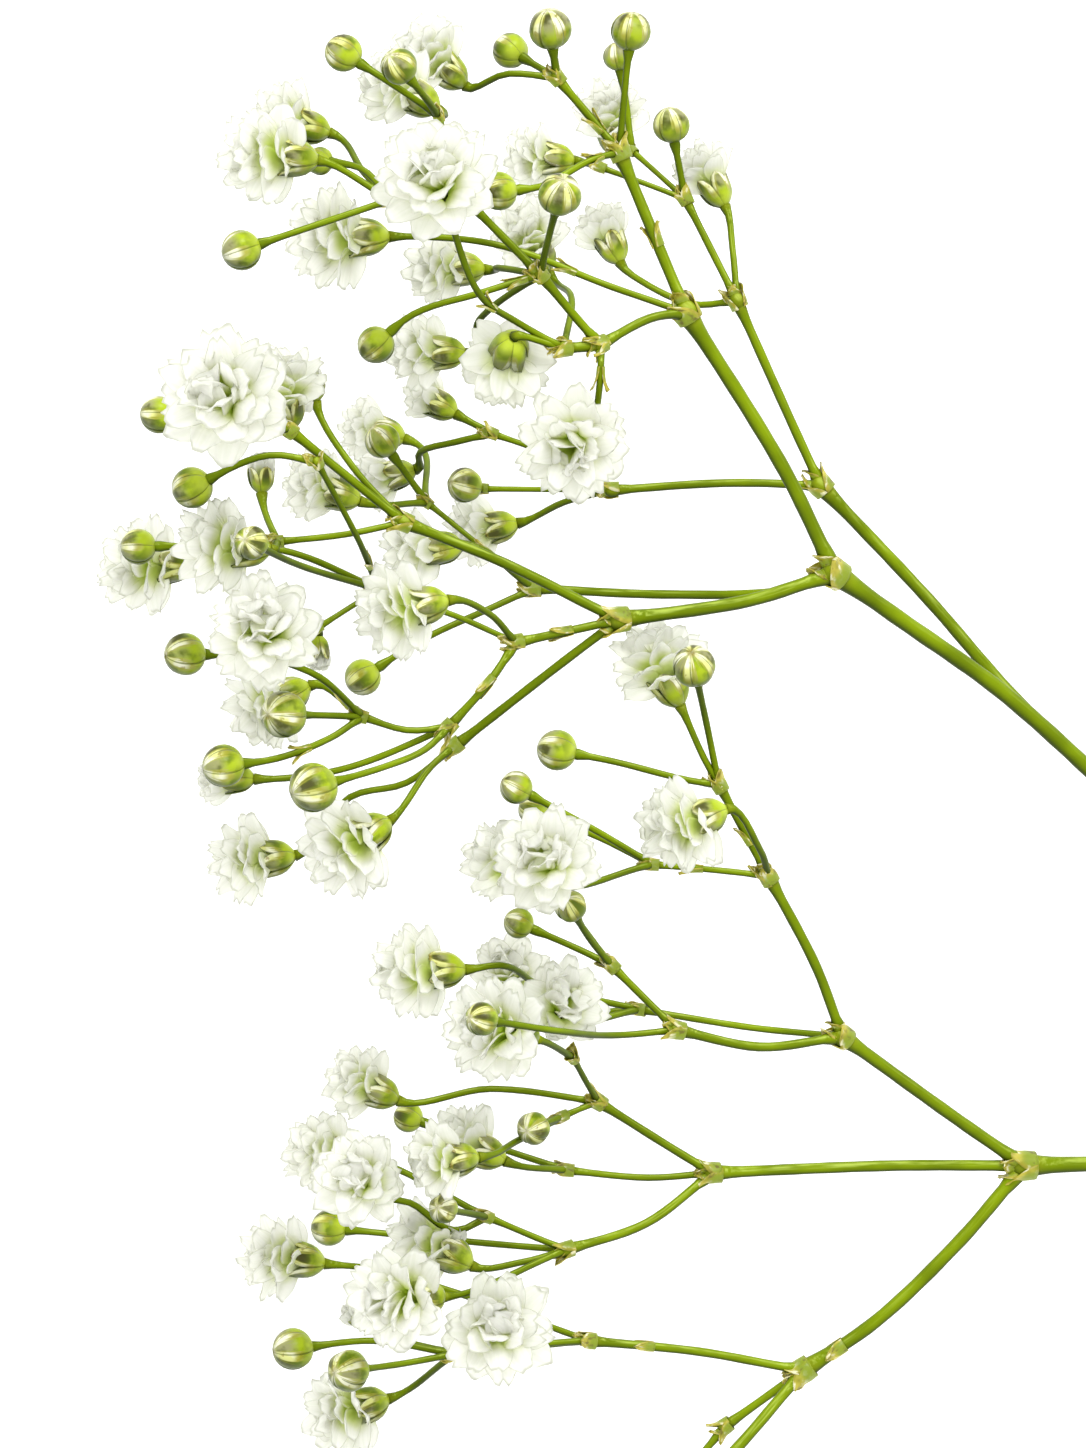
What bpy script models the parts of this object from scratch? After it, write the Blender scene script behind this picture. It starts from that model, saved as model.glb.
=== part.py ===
"""A cut spray of double gypsophila (baby's breath), lying on a surface.

The green body is one piece that grew together: the main stem, its limbs and pedicels, the swollen knots
with their scale-like bracts, the closed buds and the calyx cups. Each bloom is a white body of its own that
stands in its calyx cup, one closed surface with an outer ring of notched petals and an inner ring of blunt
ones.

The tables give every fork, bud and bloom as (x, y, height) in millimetres. x and y are what an eye sees
that looks straight down from EYE_HEIGHT, so a higher point is drawn in towards the eye's own axis.
"""

import math

import bmesh
import bpy
from mathutils import Vector

MM = 0.001
EYE_HEIGHT = 800.0
PLAN_CENTRE = (42.8, -11.3)

# Lengths are in millimetres. BLADE is the thickness of a petal's rim, and CLEARANCE keeps white off green.
MAIN_SIDES = 6
SIDES = 5
PEDICEL_WIDTH = 0.56
BLADE = 0.6
CLEARANCE = 0.35

# A knot is a stem's end, swollen over its last width and rounded off by a tip. Stems under THINNEST_KNOT
# have none. A bract stands off it to one side, more forward than outward.
THINNEST_KNOT = 0.6
KNOT_SWELL = 1.6
KNOT_TIP = 1.1
BRACT_SEAT = 0.6
BRACT_LENGTH = 1.9
BRACT_WIDTH = 1.1
BRACT_THICKNESS = 0.6
BRACT_LEAN = 0.8

# The main stem lies on one flat side, which is an apothem of its six-sided section below its middle.
MAIN_WIDTH = 1.7
MAIN_HEIGHT = MAIN_WIDTH / 2 * math.cos(math.pi / MAIN_SIDES)
CUT_END = (120.6, -37.2, MAIN_HEIGHT)
CUT_SLANT = 1.4
LIFT_OFF = (90.0, -35.9, MAIN_HEIGHT)

# A closed bud: each ring as (its place from the middle in half widths, its share of the width).
BUD_NECK = -1.1
BUD_RINGS = ((-0.45, 0.88), (0.5, 0.9))
BUD_TIP = 1.1

# A calyx cup grows with its bloom. Its belly and mouth are shares of its length, and the belly's and the
# mouth's width are shares of the rim's.
CALYX_LENGTH = (1.0, 0.2)
CALYX_RADIUS = (0.55, 0.09)
BELLY_HEIGHT = 0.35
BELLY_WIDTH = 0.85
MOUTH_HEIGHT = 0.8
VALLEY_WIDTH = 0.95

# Each fork: the fork it grows from, its place, the width of the stem that leads to it, bends on the way.
# u is the upper limb and l the lower limb.
FORKS = {
    "main": (None, (79.8, -35.5, 1.6), 1.67, []),
    "u1": ("main", (49.3, -7.3, 9), 1.42, []),
    "u2": ("u1", (24.4, 12.5, 24), 1.33, [(38.1, 2.8, 16), (29.8, 8.7, 21)]),
    "u3": ("u2", (12.0, 34.2, 30), 1.17, [(20.2, 21.0, 26)]),
    "u4": ("u3", (6.4, 47.6, 31), 0.92, []),
    "u5": ("u4", (1.2, 53.8, 32), 0.67, []),
    "u6": ("u3", (4.8, 31.6, 35), 0.75, [(8.9, 33.8, 33)]),
    "u7": ("u6", (-0.2, 37.4, 38), 0.71, []),
    "u8": ("u7", (-6.1, 43.4, 40), 0.67, []),
    "u9": ("u8", (-12.6, 43.7, 41), 0.62, []),
    "u10": ("u8", (-8.7, 50.6, 43), 0.46, []),
    "u11": ("u6", (1.8, 31.3, 36), 0.71, []),
    "u12": ("u2", (6.4, 8.7, 29), 1.08, [(17.2, 10.3, 26)]),
    "u13": ("u12", (-11.5, 16.8, 35), 0.83, [(-3.2, 13.4, 33)]),
    "u14": ("u13", (-21.1, 24.5, 39), 0.71, []),
    "u15": ("u13", (-22.1, 15.2, 36), 0.54, [(-16.5, 15.8, 36)]),
    "u16": ("u12", (-2.2, 6.8, 31), 0.71, []),
    "u17": ("u16", (-13.6, 11.2, 27), 0.5, [(-7.0, 8.9, 28)]),
    "u18": ("u17", (-18.8, 8.0, 29), 0.46, []),
    "u19": ("u17", (-18.8, 21.8, 42), 0.5, [(-15.4, 15.4, 36)]),
    "u20": ("u16", (-7.8, -0.2, 32), 0.67, [(-4.5, 3.5, 32)]),
    "u21": ("u20", (-15.0, 0.6, 33), 0.54, [(-11.4, -0.5, 33)]),
    "u22": ("u12", (-7.3, -1.8, 26), 0.75, []),
    "u23": ("u2", (-0.7, 11.3, 15), 0.75, [(20.6, 11.2, 21), (10.0, 10.8, 16)]),
    "u24": ("u23", (-9.6, 18.4, 14), 0.46, []),
    "u25": ("u1", (23.2, 19.8, 14), 1.04, [(39.3, 2.2, 10.5), (32.2, 10.3, 12)]),
    "u26": ("u25", (16.2, 35.2, 16), 0.79, []),
    "u27": ("u26", (11.9, 43.7, 15), 0.62, []),
    "u28": ("u27", (7.4, 47.8, 12), 0.46, []),
    "u29": ("u27", (4.8, 46.4, 15), 0.46, []),
    "u30": ("u25", (5.8, 19.5, 14), 0.71, [(16.0, 20.1, 14)]),
    "u31": ("u30", (-4.2, 24.2, 15), 0.5, [(2.2, 21.8, 14.5)]),
    "u32": ("u30", (-5.0, 19.6, 13), 0.46, []),
    "l1": ("main", (40.2, -36.8, 9), 1.29, [(58.9, -36.3, 4)]),
    "l2": ("l1", (25.0, -26.1, 18), 1.04, []),
    "l3": ("l2", (18.8, -12.7, 23), 0.83, [(22.8, -20.3, 20)]),
    "l4": ("l3", (14.7, -5.1, 25), 0.67, []),
    "l5": ("l3", (9.2, -11.7, 23), 0.54, []),
    "l6": ("l2", (11.2, -25.5, 23), 0.79, [(18.0, -26.9, 21)]),
    "l7": ("l6", (5.8, -20.2, 24), 0.62, []),
    "l8": ("l2", (8.1, -23.8, 14), 0.58, [(17.4, -25.3, 15)]),
    "l9": ("l1", (14.2, -37.4, 14), 0.92, [(29.5, -36.8, 11)]),
    "l10": ("l9", (4.6, -31.5, 18), 0.71, []),
    "l11": ("l10", (1.6, -32.7, 20), 0.5, []),
    "l12": ("l9", (2.1, -37.2, 14), 0.58, [(8.8, -37.8, 14)]),
    "l13": ("l9", (2.0, -43.8, 18), 0.75, [(8.6, -41.6, 16)]),
    "l14": ("l13", (-4.6, -41.1, 21), 0.54, []),
    "l15": ("l10", (2.5, -27.8, 24), 0.5, []),
    "l16": ("l1", (21.8, -53.8, 8), 1.12, [(34.8, -43.0, 9), (27.7, -49.8, 8.5)]),
    "l17": ("l16", (3.9, -51.4, 14), 0.75, [(13.0, -52.3, 11)]),
    "l18": ("l17", (-7.3, -52.5, 14), 0.54, []),
    "l19": ("l16", (15.2, -58.5, 7), 0.71, []),
    "l20": ("l19", (8.1, -67.2, 7), 0.62, []),
    "l21": ("l16", (9.3, -67.2, 15), 0.92, [(16.2, -60.3, 11)]),
}

# Each closed bud: the fork it grows from, its middle, its width, bends of its pedicel.
BUDS = {
    "bud_01": ("u10", (-16.6, 55.9, 46), 2.8, [(-11.9, 52.9, 46)]),
    "bud_02": ("u10", (-12.0, 54.8, 49), 2.7, [(-10.2, 52.7, 47)]),
    "bud_03": ("u5", (-2.7, 56.1, 29), 2.7, []),
    "bud_04": ("u5", (0.6, 57.9, 34), 3.2, []),
    "bud_05": ("u4", (7.3, 57.7, 34), 3.0, []),
    "bud_06": ("u28", (6.2, 55.6, 13), 2.2, [(6.9, 52.0, 12)]),
    "bud_07": ("u27", (10.7, 49.9, 17), 2.8, []),
    "bud_08": ("u9", (-25.1, 39.5, 44), 3.0, [(-15.6, 42.7, 43)]),
    "bud_09": ("u9", (-18.6, 46.9, 36), 2.1, [(-15.2, 46.3, 38)]),
    "bud_10": ("u4", (-3.7, 44.4, 37), 2.9, [(3.8, 46.9, 34), (-0.2, 44.8, 36)]),
    "bud_11": ("u7", (1.4, 44.1, 45), 3.2, []),
    "bud_12": ("u7", (-13.9, 31.6, 38), 2.8, [(-5.3, 35.9, 39), (-10.9, 34.1, 38.5)]),
    "bud_13": ("u14", (-32.0, 25.8, 38), 2.8, [(-25.2, 25.5, 38)]),
    "bud_14": ("u19", (-29.2, 19.7, 40), 3.1, [(-22.8, 22.4, 42)]),
    "bud_15": ("u17", (-33.7, 14.8, 33), 2.7, [(-21.8, 14.5, 32), (-27.8, 14.8, 33)]),
    "bud_16": ("u17", (-24.3, 15.1, 45), 2.5, [(-20.2, 13.2, 36)]),
    "bud_17": ("u18", (-29.8, 5.8, 31), 3.2, [(-24.4, 6.0, 29)]),
    "bud_18": ("u23", (-15.0, 3.9, 17), 2.8, [(-4.5, 9.6, 16), (-10.1, 7.0, 17)]),
    "bud_19": ("u21", (-21.6, 0.8, 40), 3.5, []),
    "bud_20": ("u21", (-26.6, -3.5, 40), 3.2, [(-17.8, -1.2, 36), (-22.3, -2.9, 39)]),
    "bud_21": ("u20", (-19.1, -5.3, 40), 3.7, [(-9.8, -2.1, 34), (-13.0, -3.5, 37)]),
    "bud_22": ("u24", (-13.4, 23.6, 16), 2.7, []),
    "bud_23": ("u32", (-6.5, 19.9, 14), 2.7, []),
    "bud_24": ("l4", (12.6, 4.8, 33), 3.2, [(13.6, 0.2, 28)]),
    "bud_25": ("l4", (1.2, -2.2, 26), 3.1, [(12.2, -4.7, 26), (5.8, -3.1, 26)]),
    "bud_26": ("l5", (-2.2, -5.3, 27), 2.5, [(4.8, -9.1, 25)]),
    "bud_27": ("l5", (-0.8, -7.2, 22), 2.3, [(4.8, -9.5, 22)]),
    "bud_28": ("l7", (2.3, -15.2, 31), 2.4, [(3.9, -17.9, 27)]),
    "bud_29": ("l7", (-2.0, -16.6, 25), 2.3, [(3.9, -19.2, 24)]),
    "bud_30": ("l6", (-5.1, -24.6, 41), 2.5, [(6.8, -25.9, 25), (1.4, -25.6, 35)]),
    "bud_31": ("l12", (-11.2, -32.8, 12), 2.3, []),
    "bud_32": ("l11", (-0.8, -33.7, 25), 2.5, []),
    "bud_33": ("l14", (-8.3, -40.4, 29), 2.2, []),
    "bud_34": ("l13", (-17.8, -42.0, 15), 2.8, []),
    "bud_35": ("l18", (-20.8, -52.1, 17), 3.2, [(-14.1, -51.4, 15)]),
    "bud_36": ("l18", (-16.2, -53.9, 22), 3.2, [(-11.7, -53.3, 17)]),
    "bud_37": ("l20", (-0.2, -66.2, 10), 3.0, []),
    "bud_38": ("l21", (13.1, -77.2, 20), 3.0, []),
}

# Each bloom: the fork it grows from, its middle, the way it faces (compass angle in plan, then lift
# above the horizon, in degrees), its width, bends of its pedicel. The small ones are only half open.
BLOOMS = {
    "bloom_01": ("u5", (-9.2, 55.5, 30), (140, 20), 7.0, [(-2.8, 54.2, 32)]),
    "bloom_02": ("u10", (-11.9, 53.0, 38), (150, 5), 7.0, []),
    "bloom_03": ("u9", (-22.9, 47.4, 43), (175, 15), 8.0, []),
    "bloom_04": ("u9", (-21.1, 50.2, 33), (165, 15), 6.7, [(-14.8, 45.8, 38)]),
    "bloom_05": ("u11", (-8.8, 45.2, 50), (110, 55), 9.8, [(-2.0, 33.4, 38), (-5.3, 35.8, 42)]),
    "bloom_06": ("u3", (-17.1, 40.5, 30), (182, 10), 8.3, [(5.8, 36.4, 31), (-4.1, 40.0, 31)]),
    "bloom_07": ("u28", (5.7, 50.6, 3.5), (100, 20), 6.7, []),
    "bloom_08": ("u29", (-0.4, 47.2, 12), (175, 10), 6.0, []),
    "bloom_09": ("u26", (13.7, 45.7, 13), (120, -5), 5.8, [(15.8, 39.6, 15)]),
    "bloom_10": ("u26", (5.3, 40.8, 10), (115, -10), 5.3, [(12.5, 35.0, 14), (8.2, 36.9, 12)]),
    "bloom_11": ("u11", (-1.1, 40.5, 22), (120, 30), 6.7, [(2.4, 35.3, 30)]),
    "bloom_12": ("u7", (-8.3, 38.0, 26), (178, 10), 6.7, [(-3.6, 38.0, 33)]),
    "bloom_13": ("u7", (-9.8, 31.0, 26), (178, 5), 6.5, [(-5.3, 33.7, 31)]),
    "bloom_14": ("u31", (-9.3, 27.0, 13), (150, -5), 4.7, []),
    "bloom_15": ("u11", (-3.1, 30.2, 34), (250, -60), 7.7, []),
    "bloom_16": ("u6", (2.6, 23.4, 38), (230, 60), 9.0, [(4.8, 29.2, 36)]),
    "bloom_17": ("u30", (-5.1, 16.2, 8), (190, 0), 6.0, [(1.8, 18.5, 11)]),
    "bloom_18": ("u23", (-10.1, 14.5, 20), (186, -10), 6.7, []),
    "bloom_19": ("u24", (-14.3, 24.5, 2.9), (165, 0), 5.7, []),
    "bloom_20": ("u31", (-13.2, 20.5, 9), (195, 0), 5.2, [(-7.3, 23.5, 14), (-10.2, 22.7, 12)]),
    "bloom_21": ("u24", (-18.4, 19.7, 20), (160, 0), 6.5, []),
    "bloom_22": ("u14", (-26.4, 27.3, 50), (130, 62), 10.5, []),
    "bloom_23": ("u14", (-21.5, 28.0, 36), (95, 20), 7.0, []),
    "bloom_24": ("u13", (-19.2, 28.3, 33), (100, 10), 2.8, [(-15.9, 21.5, 35)]),
    "bloom_25": ("u15", (-26.8, 14.8, 40), (176, 12), 7.8, []),
    "bloom_26": ("u15", (-33.1, 13.2, 27), (182, 18), 8.0, []),
    "bloom_27": ("u21", (-23.2, 7.7, 44), (120, 60), 9.3, [(-18.6, 3.9, 38)]),
    "bloom_28": ("u21", (-22.9, 1.6, 30), (205, 10), 7.3, []),
    "bloom_29": ("u18", (-18.8, 6.0, 24), (270, 0), 2.8, []),
    "bloom_30": ("u16", (-11.8, 9.5, 40), (192, 15), 7.7, [(-4.5, 9.2, 35)]),
    "bloom_31": ("u22", (-24.4, -11.3, 24), (185, 12), 7.3, [(-11.4, -4.9, 25), (-16.1, -6.1, 24)]),
    "bloom_32": ("u22", (-16.2, -10.2, 33), (212, 25), 8.3, [(-9.3, -3.5, 28)]),
    "bloom_33": ("u20", (-26.5, -4.5, 30), (178, 0), 4.7, [(-16.9, -3.8, 31)]),
    "bloom_34": ("u15", (-23.5, 20.9, 32), (92, 0), 3.2, []),
    "bloom_35": ("l4", (9.6, 5.0, 27), (118, 10), 7.7, [(13.4, -2.8, 26)]),
    "bloom_36": ("l3", (11.7, -8.4, 32), (200, 20), 7.7, [(18.1, -10.5, 27)]),
    "bloom_37": ("l5", (0.4, -11.4, 36), (120, 62), 8.8, []),
    "bloom_38": ("l7", (-3.2, -11.5, 24), (150, 20), 7.2, []),
    "bloom_39": ("l8", (-10.4, -20.5, 28), (180, 12), 7.7, [(-0.2, -21.8, 20), (-3.6, -20.1, 26)]),
    "bloom_40": ("l15", (-3.8, -25.5, 34), (165, 45), 8.7, []),
    "bloom_41": ("l8", (1.6, -23.5, 28), (60, 60), 7.7, []),
    "bloom_42": ("l8", (-2.6, -21.0, 16), (100, 40), 7.0, []),
    "bloom_43": ("l10", (-15.1, -30.0, 20), (155, 10), 6.5, [(-4.4, -30.4, 18)]),
    "bloom_44": ("l14", (-18.2, -35.7, 16), (170, 10), 7.0, []),
    "bloom_45": ("l14", (-15.2, -38.0, 30), (130, 62), 8.2, [(-7.3, -42.2, 22), (-11.1, -39.9, 25)]),
    "bloom_46": ("l11", (-8.6, -36.4, 31), (184, 20), 6.5, [(-1.9, -34.6, 24)]),
    "bloom_47": ("l12", (-6.2, -35.0, 19), (155, 0), 6.5, []),
    "bloom_48": ("l13", (-9.4, -43.2, 22), (150, 5), 7.7, [(-1.6, -44.8, 20)]),
    "bloom_49": ("l17", (-21.8, -44.5, 3.8), (172, 10), 7.3, [(-7.8, -47.2, 6), (-14.1, -45.4, 4)]),
    "bloom_50": ("l13", (-11.9, -47.8, 30), (178, 40), 8.7, []),
    "bloom_51": ("l17", (-3.8, -50.3, 26), (100, 72), 9.3, []),
    "bloom_52": ("l18", (-15.2, -49.3, 13), (140, 0), 3.2, []),
    "bloom_53": ("l18", (-16.5, -57.3, 9), (195, 20), 7.7, []),
    "bloom_54": ("l20", (1.5, -70.8, 3.9), (205, 10), 7.5, []),
    "bloom_55": ("l21", (3.5, -77.6, 18), (225, 30), 7.8, []),
}

# A bloom has an outer ring of petals that opens wide, and between them an inner ring that stands up half as
# far, with a waist between the rings. It opens wider as it grows, by OPENING degrees a millimetre. Places
# along its axis are shares of its width, the longest petals reach a little out of the ball that the width
# gives, and the waist is a share of the narrowest gap between petals.
PETALS = 5
PETAL_REACH = 1.12
LEAST_OPEN = 57
OPENING = 14
WIDEST_OPEN = 98
OUTER_HUB = 0.41
RING_STEP = 0.08
HEART_HEIGHT = 0.2
WAIST_WIDTH = 0.7
WAIST_LIFT = 0.2
FOOT_GAP = CLEARANCE + 0.1
TURN_STEP = 37

# A petal's rim: (place across it, way out to the bloom's round outline, tilt in degrees) at the gap before
# the petal, the first lobe, the notch and the second lobe. An inner petal is blunt.
OUTER_RIM = ((-0.5, 0.5, 0), (-0.36, 1, -7), (0, 0.86, 3), (0.36, 1, 7))
INNER_RIM = ((-0.5, 0.5, 0), (-0.3, 1, -5), (0.3, 1, 5))
SHORTEST_REACH = 0.3
REACH_STEPS = 14

# A bud counts as a stretch of this length in metres when petals keep clear of it.
SPECK = 1e-6

# A bloom narrower than HALF_OPEN shows only a furled tip. Its girth is a share of its calyx's radius above
# its foot, and the rest are shares of its width.
HALF_OPEN = 4
TIP_GIRTH_HEIGHT = 0.7
TIP_GIRTH = 0.62
TIP_RISE = 0.45
TIP_DIP = 0.2
TIP_RADIUS = 0.26


def spot(place):
    """The point in metres that is seen at x, y from EYE_HEIGHT, at its own height."""
    x, y, height = place
    drawn_in = (EYE_HEIGHT - height) / EYE_HEIGHT
    return Vector((x * drawn_in - PLAN_CENTRE[0], y * drawn_in - PLAN_CENTRE[1], height)) * MM


def facing_of(angles):
    """The unit vector of a compass angle and a lift, in degrees."""
    turn, lift = (math.radians(angle) for angle in angles)
    return Vector((math.cos(turn) * math.cos(lift), math.sin(turn) * math.cos(lift), math.sin(lift)))


def level_across(direction):
    """A level unit vector square to a direction."""
    return Vector((-direction.y, direction.x, 0)).normalized()


def new_object(name, points, faces):
    """A mesh object with its faces pointing out."""
    bm = bmesh.new()
    corners = [bm.verts.new(point) for point in points]
    for face in faces:
        bm.faces.new([corners[index] for index in face])
    bmesh.ops.recalc_face_normals(bm, faces=bm.faces)
    mesh = bpy.data.meshes.new(name)
    bm.to_mesh(mesh)
    bm.free()
    made = bpy.data.objects.new(name, mesh)
    bpy.context.scene.collection.objects.link(made)
    return made


def fan(pole, ring):
    """Triangles from one point to each side of a ring."""
    return [(pole, ring[k], ring[(k + 1) % len(ring)]) for k in range(len(ring))]


def band(lower, upper):
    """Triangles between two rings of the same count."""
    faces = []
    for k in range(len(lower)):
        after = (k + 1) % len(lower)
        faces.append((lower[k], lower[after], upper[after]))
        faces.append((lower[k], upper[after], upper[k]))
    return faces


def ring_numbers(count, rings):
    """The point numbers of each ring, where rings of one count follow each other."""
    return [list(range(k * count, (k + 1) * count)) for k in range(rings)]


def sections(points, widths, sides):
    """Rings square to a route, each of its own width in millimetres, in one list."""
    found = []
    side = level_across(points[1] - points[0])
    for k, (point, width) in enumerate(zip(points, widths)):
        ahead = points[min(k + 1, len(points) - 1)] - point
        behind = point - points[max(k - 1, 0)]
        along = (ahead.normalized() + behind.normalized()).normalized()
        side = (side - along * side.dot(along)).normalized()
        other = along.cross(side)
        for step in range(sides):
            angle = 2 * math.pi * step / sides
            found.append(point + (side * math.cos(angle) + other * math.sin(angle)) * width / 2 * MM)
    return found


def stalk(points, widths, sides, tip):
    """A closed stalk along a route, from a flat start to a pointed tip."""
    rings = ring_numbers(sides, len(points))
    faces = [rings[0]] + fan(sides * len(points), rings[-1])
    for lower, upper in zip(rings, rings[1:]):
        faces += band(lower, upper)
    return new_object("stalk", sections(points, widths, sides) + [tip], faces)


def stem_to_fork(points, width, sides=SIDES):
    """A stem that swells to a knot where it forks, unless it is as thin as a pedicel."""
    along = (points[-1] - points[-2]).normalized() * width * MM
    if width < THINNEST_KNOT:
        return stalk(points, [width] * len(points), sides, points[-1] + along)
    points = points[:-1] + [points[-1] - along, points[-1]]
    widths = [width] * (len(points) - 1) + [width * KNOT_SWELL]
    return stalk(points, widths, sides, points[-1] + along * KNOT_TIP)


def bud_on_pedicel(points, middle, width):
    """A pedicel with a closed bud on its end, fullest just above its middle."""
    along = (middle - points[-1]).normalized() * width / 2 * MM
    points = points + [middle + along * BUD_NECK]
    widths = [PEDICEL_WIDTH] * len(points)
    for place, share in BUD_RINGS:
        points.append(middle + along * place)
        widths.append(width * share)
    return stalk(points, widths, SIDES, middle + along * BUD_TIP)


def calyx_size(width):
    """Length and rim radius, in millimetres, of the calyx cup under a bloom of this width."""
    return CALYX_LENGTH[0] + CALYX_LENGTH[1] * width, CALYX_RADIUS[0] + CALYX_RADIUS[1] * width


def add_crown(corners, faces, ring, middle, rise, dip, radius):
    """Goes on from a ring round a middle to a rim of pointed teeth, closed by a hollow mouth.

    rise and dip are the ways from the ring's middle to the teeth's height and to the mouth's.
    """
    spokes = [(corners[k] - middle).normalized() for k in ring]
    first = len(corners)
    corners += [middle + rise + spoke * radius for spoke in spokes]
    for k, spoke in enumerate(spokes):
        between = (spoke + spokes[(k + 1) % SIDES]).normalized()
        corners.append(middle + dip + between * radius * VALLEY_WIDTH)
    corners.append(middle + dip)
    mouth = len(corners) - 1
    for k, low in enumerate(ring):
        after = (k + 1) % SIDES
        tooth, next_tooth, valley = first + k, first + after, first + SIDES + k
        next_low = ring[after]
        faces += [(low, valley, tooth), (low, next_low, valley), (next_low, next_tooth, valley)]
        faces += [(tooth, valley, mouth), (valley, next_tooth, mouth)]


def calyx_on_pedicel(points, facing, width):
    """A pedicel with a cup on its end that has five teeth and a hollow mouth."""
    length, radius = (size * MM for size in calyx_size(width))
    belly = points[-1] + facing * length * BELLY_HEIGHT
    rise = facing * length * (1 - BELLY_HEIGHT)
    dip = facing * length * (MOUTH_HEIGHT - BELLY_HEIGHT)
    widths = [PEDICEL_WIDTH] * len(points) + [BELLY_WIDTH * 2 * radius / MM]
    corners = sections(points + [belly], widths, SIDES)
    rings = ring_numbers(SIDES, len(points) + 1)
    faces = [rings[0]]
    for lower, upper in zip(rings, rings[1:]):
        faces += band(lower, upper)
    add_crown(corners, faces, rings[-1], belly, rise, dip, radius)
    return new_object("calyx", corners, faces)


def root_of(name):
    """Where a bloom's calyx meets its pedicel: half a width behind the bloom's middle."""
    _, middle, angles, width, _ = BLOOMS[name]
    return spot(middle) - facing_of(angles) * width / 2 * MM


def route_from(parent, bends):
    """The points of a stem's way from the fork it grows from, up to its own end."""
    return [spot(FORKS[parent][1])] + [spot(bend) for bend in bends]


def routes():
    """Every stem and pedicel as (what it carries, its points, its width)."""
    found = []
    for name, (parent, place, width, bends) in FORKS.items():
        if parent:
            found.append((name, route_from(parent, bends) + [spot(place)], width))
    for name, (parent, middle, _, bends) in BUDS.items():
        found.append((name, route_from(parent, bends) + [spot(middle)], PEDICEL_WIDTH))
    for name, (parent, _, _, _, bends) in BLOOMS.items():
        found.append((name, route_from(parent, bends) + [root_of(name)], PEDICEL_WIDTH))
    return found


def distance_to(point, first, last):
    """How far a point is from the straight stretch between two others."""
    stretch = last - first
    share = (point - first).dot(stretch) / stretch.length_squared
    return (point - first - stretch * min(max(share, 0), 1)).length


def obstacles_of(name, stems):
    """What a bloom's petals must stay clear of: stretches as (first, last, radius), and other blooms."""
    _, place, _, width, _ = BLOOMS[name]
    stretches = []
    for carried, points, thickness in stems:
        for first, last in zip(points, points[1:]):
            if carried != name and distance_to(spot(place), first, last) < width * MM:
                stretches.append((first, last, thickness / 2 * MM))
    for _, middle, size, _ in BUDS.values():
        stretches.append((spot(middle), spot(middle) + Vector((0, 0, SPECK)), size / 2 * MM))
    others = []
    for other, (_, middle, angles, size, _) in BLOOMS.items():
        if other != name:
            length, radius = calyx_size(size)
            root = root_of(other)
            stretches.append((root, root + facing_of(angles) * length * MM, radius * MM))
            others.append((spot(middle), size / 2 * MM))
    return stretches, others


def is_free(point, middle, radius, obstacles):
    """True where a blade clears the ground, the stems and buds, and its share of the way to other blooms."""
    stretches, others = obstacles
    gap = (CLEARANCE + BLADE / 2) * MM
    if point.z < BLADE / 2 * MM:
        return False
    for first, last, thickness in stretches:
        if distance_to(point, first, last) < thickness + gap:
            return False
    for centre, other_radius in others:
        apart = centre - middle
        border = (apart.length_squared + radius**2 - other_radius**2) / (2 * apart.length)
        if (point - middle).dot(apart) / apart.length > border - gap:
            return False
    return True


def spokes_round(facing, turns):
    """Unit vectors square to a direction, one at each turn round it."""
    side = level_across(facing)
    other = facing.cross(side)
    return [side * math.cos(turn) + other * math.sin(turn) for turn in turns]


def reach_in(way, hub, middle, radius, obstacles):
    """How far a petal can follow its way out from the hub, as a share of it, before it meets something."""
    free = 0
    while free < REACH_STEPS:
        if not is_free(hub + way * (free + 1) / REACH_STEPS, middle, radius, obstacles):
            break
        free += 1
    return max(free / REACH_STEPS, SHORTEST_REACH)


def places_round(rim, start):
    """Where the points of a ring of petals lie, counted in petals from a start."""
    return [start + petal + place for petal in range(PETALS) for place, _, _ in rim]


def petal_rims(name, hub, polar, rim, places, turn, obstacles):
    """The outline of a ring of petals round a hub, as an upper and a lower list of points."""
    _, middle_place, angles, width, _ = BLOOMS[name]
    radius = width / 2 * PETAL_REACH * MM
    middle, facing = spot(middle_place), facing_of(angles)
    turns = [turn + place * 2 * math.pi / PETALS for place in places]
    upper, lower = [], []
    for k, out in enumerate(spokes_round(facing, turns)):
        _, reach, tilt = rim[k % len(rim)]
        lean = math.radians(polar + tilt)
        way = (middle + (facing * math.cos(lean) + out * math.sin(lean)) * radius - hub) * reach
        end = hub + way * reach_in(way, hub, middle, radius, obstacles)
        square = (facing * way.dot(out) - out * way.dot(facing)).normalized() * BLADE / 2 * MM
        upper.append(end + square)
        lower.append(end - square)
    return upper, lower


def off_axis(points, start, facing):
    """How near the nearest of some points comes to an axis."""
    return min((point - start).cross(facing).length for point in points)


def opening_tip(name, material):
    """The furled tip of petals that a half-open bloom shows: a small crown of five points."""
    _, _, angles, width, _ = BLOOMS[name]
    facing = facing_of(angles)
    size = width * MM
    length, radius = calyx_size(width)
    foot = root_of(name) + facing * (length * MOUTH_HEIGHT + FOOT_GAP) * MM
    girth = foot + facing * radius * TIP_GIRTH_HEIGHT * MM
    corners = [foot] + sections([girth, girth + facing * MM], [width * TIP_GIRTH], SIDES)
    ring = list(range(1, SIDES + 1))
    faces = fan(0, ring)
    rise, dip = facing * size * TIP_RISE, facing * size * TIP_DIP
    add_crown(corners, faces, ring, girth, rise, dip, size * TIP_RADIUS)
    made = new_object(name, corners, faces)
    made.data.materials.append(material)
    return made


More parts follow.
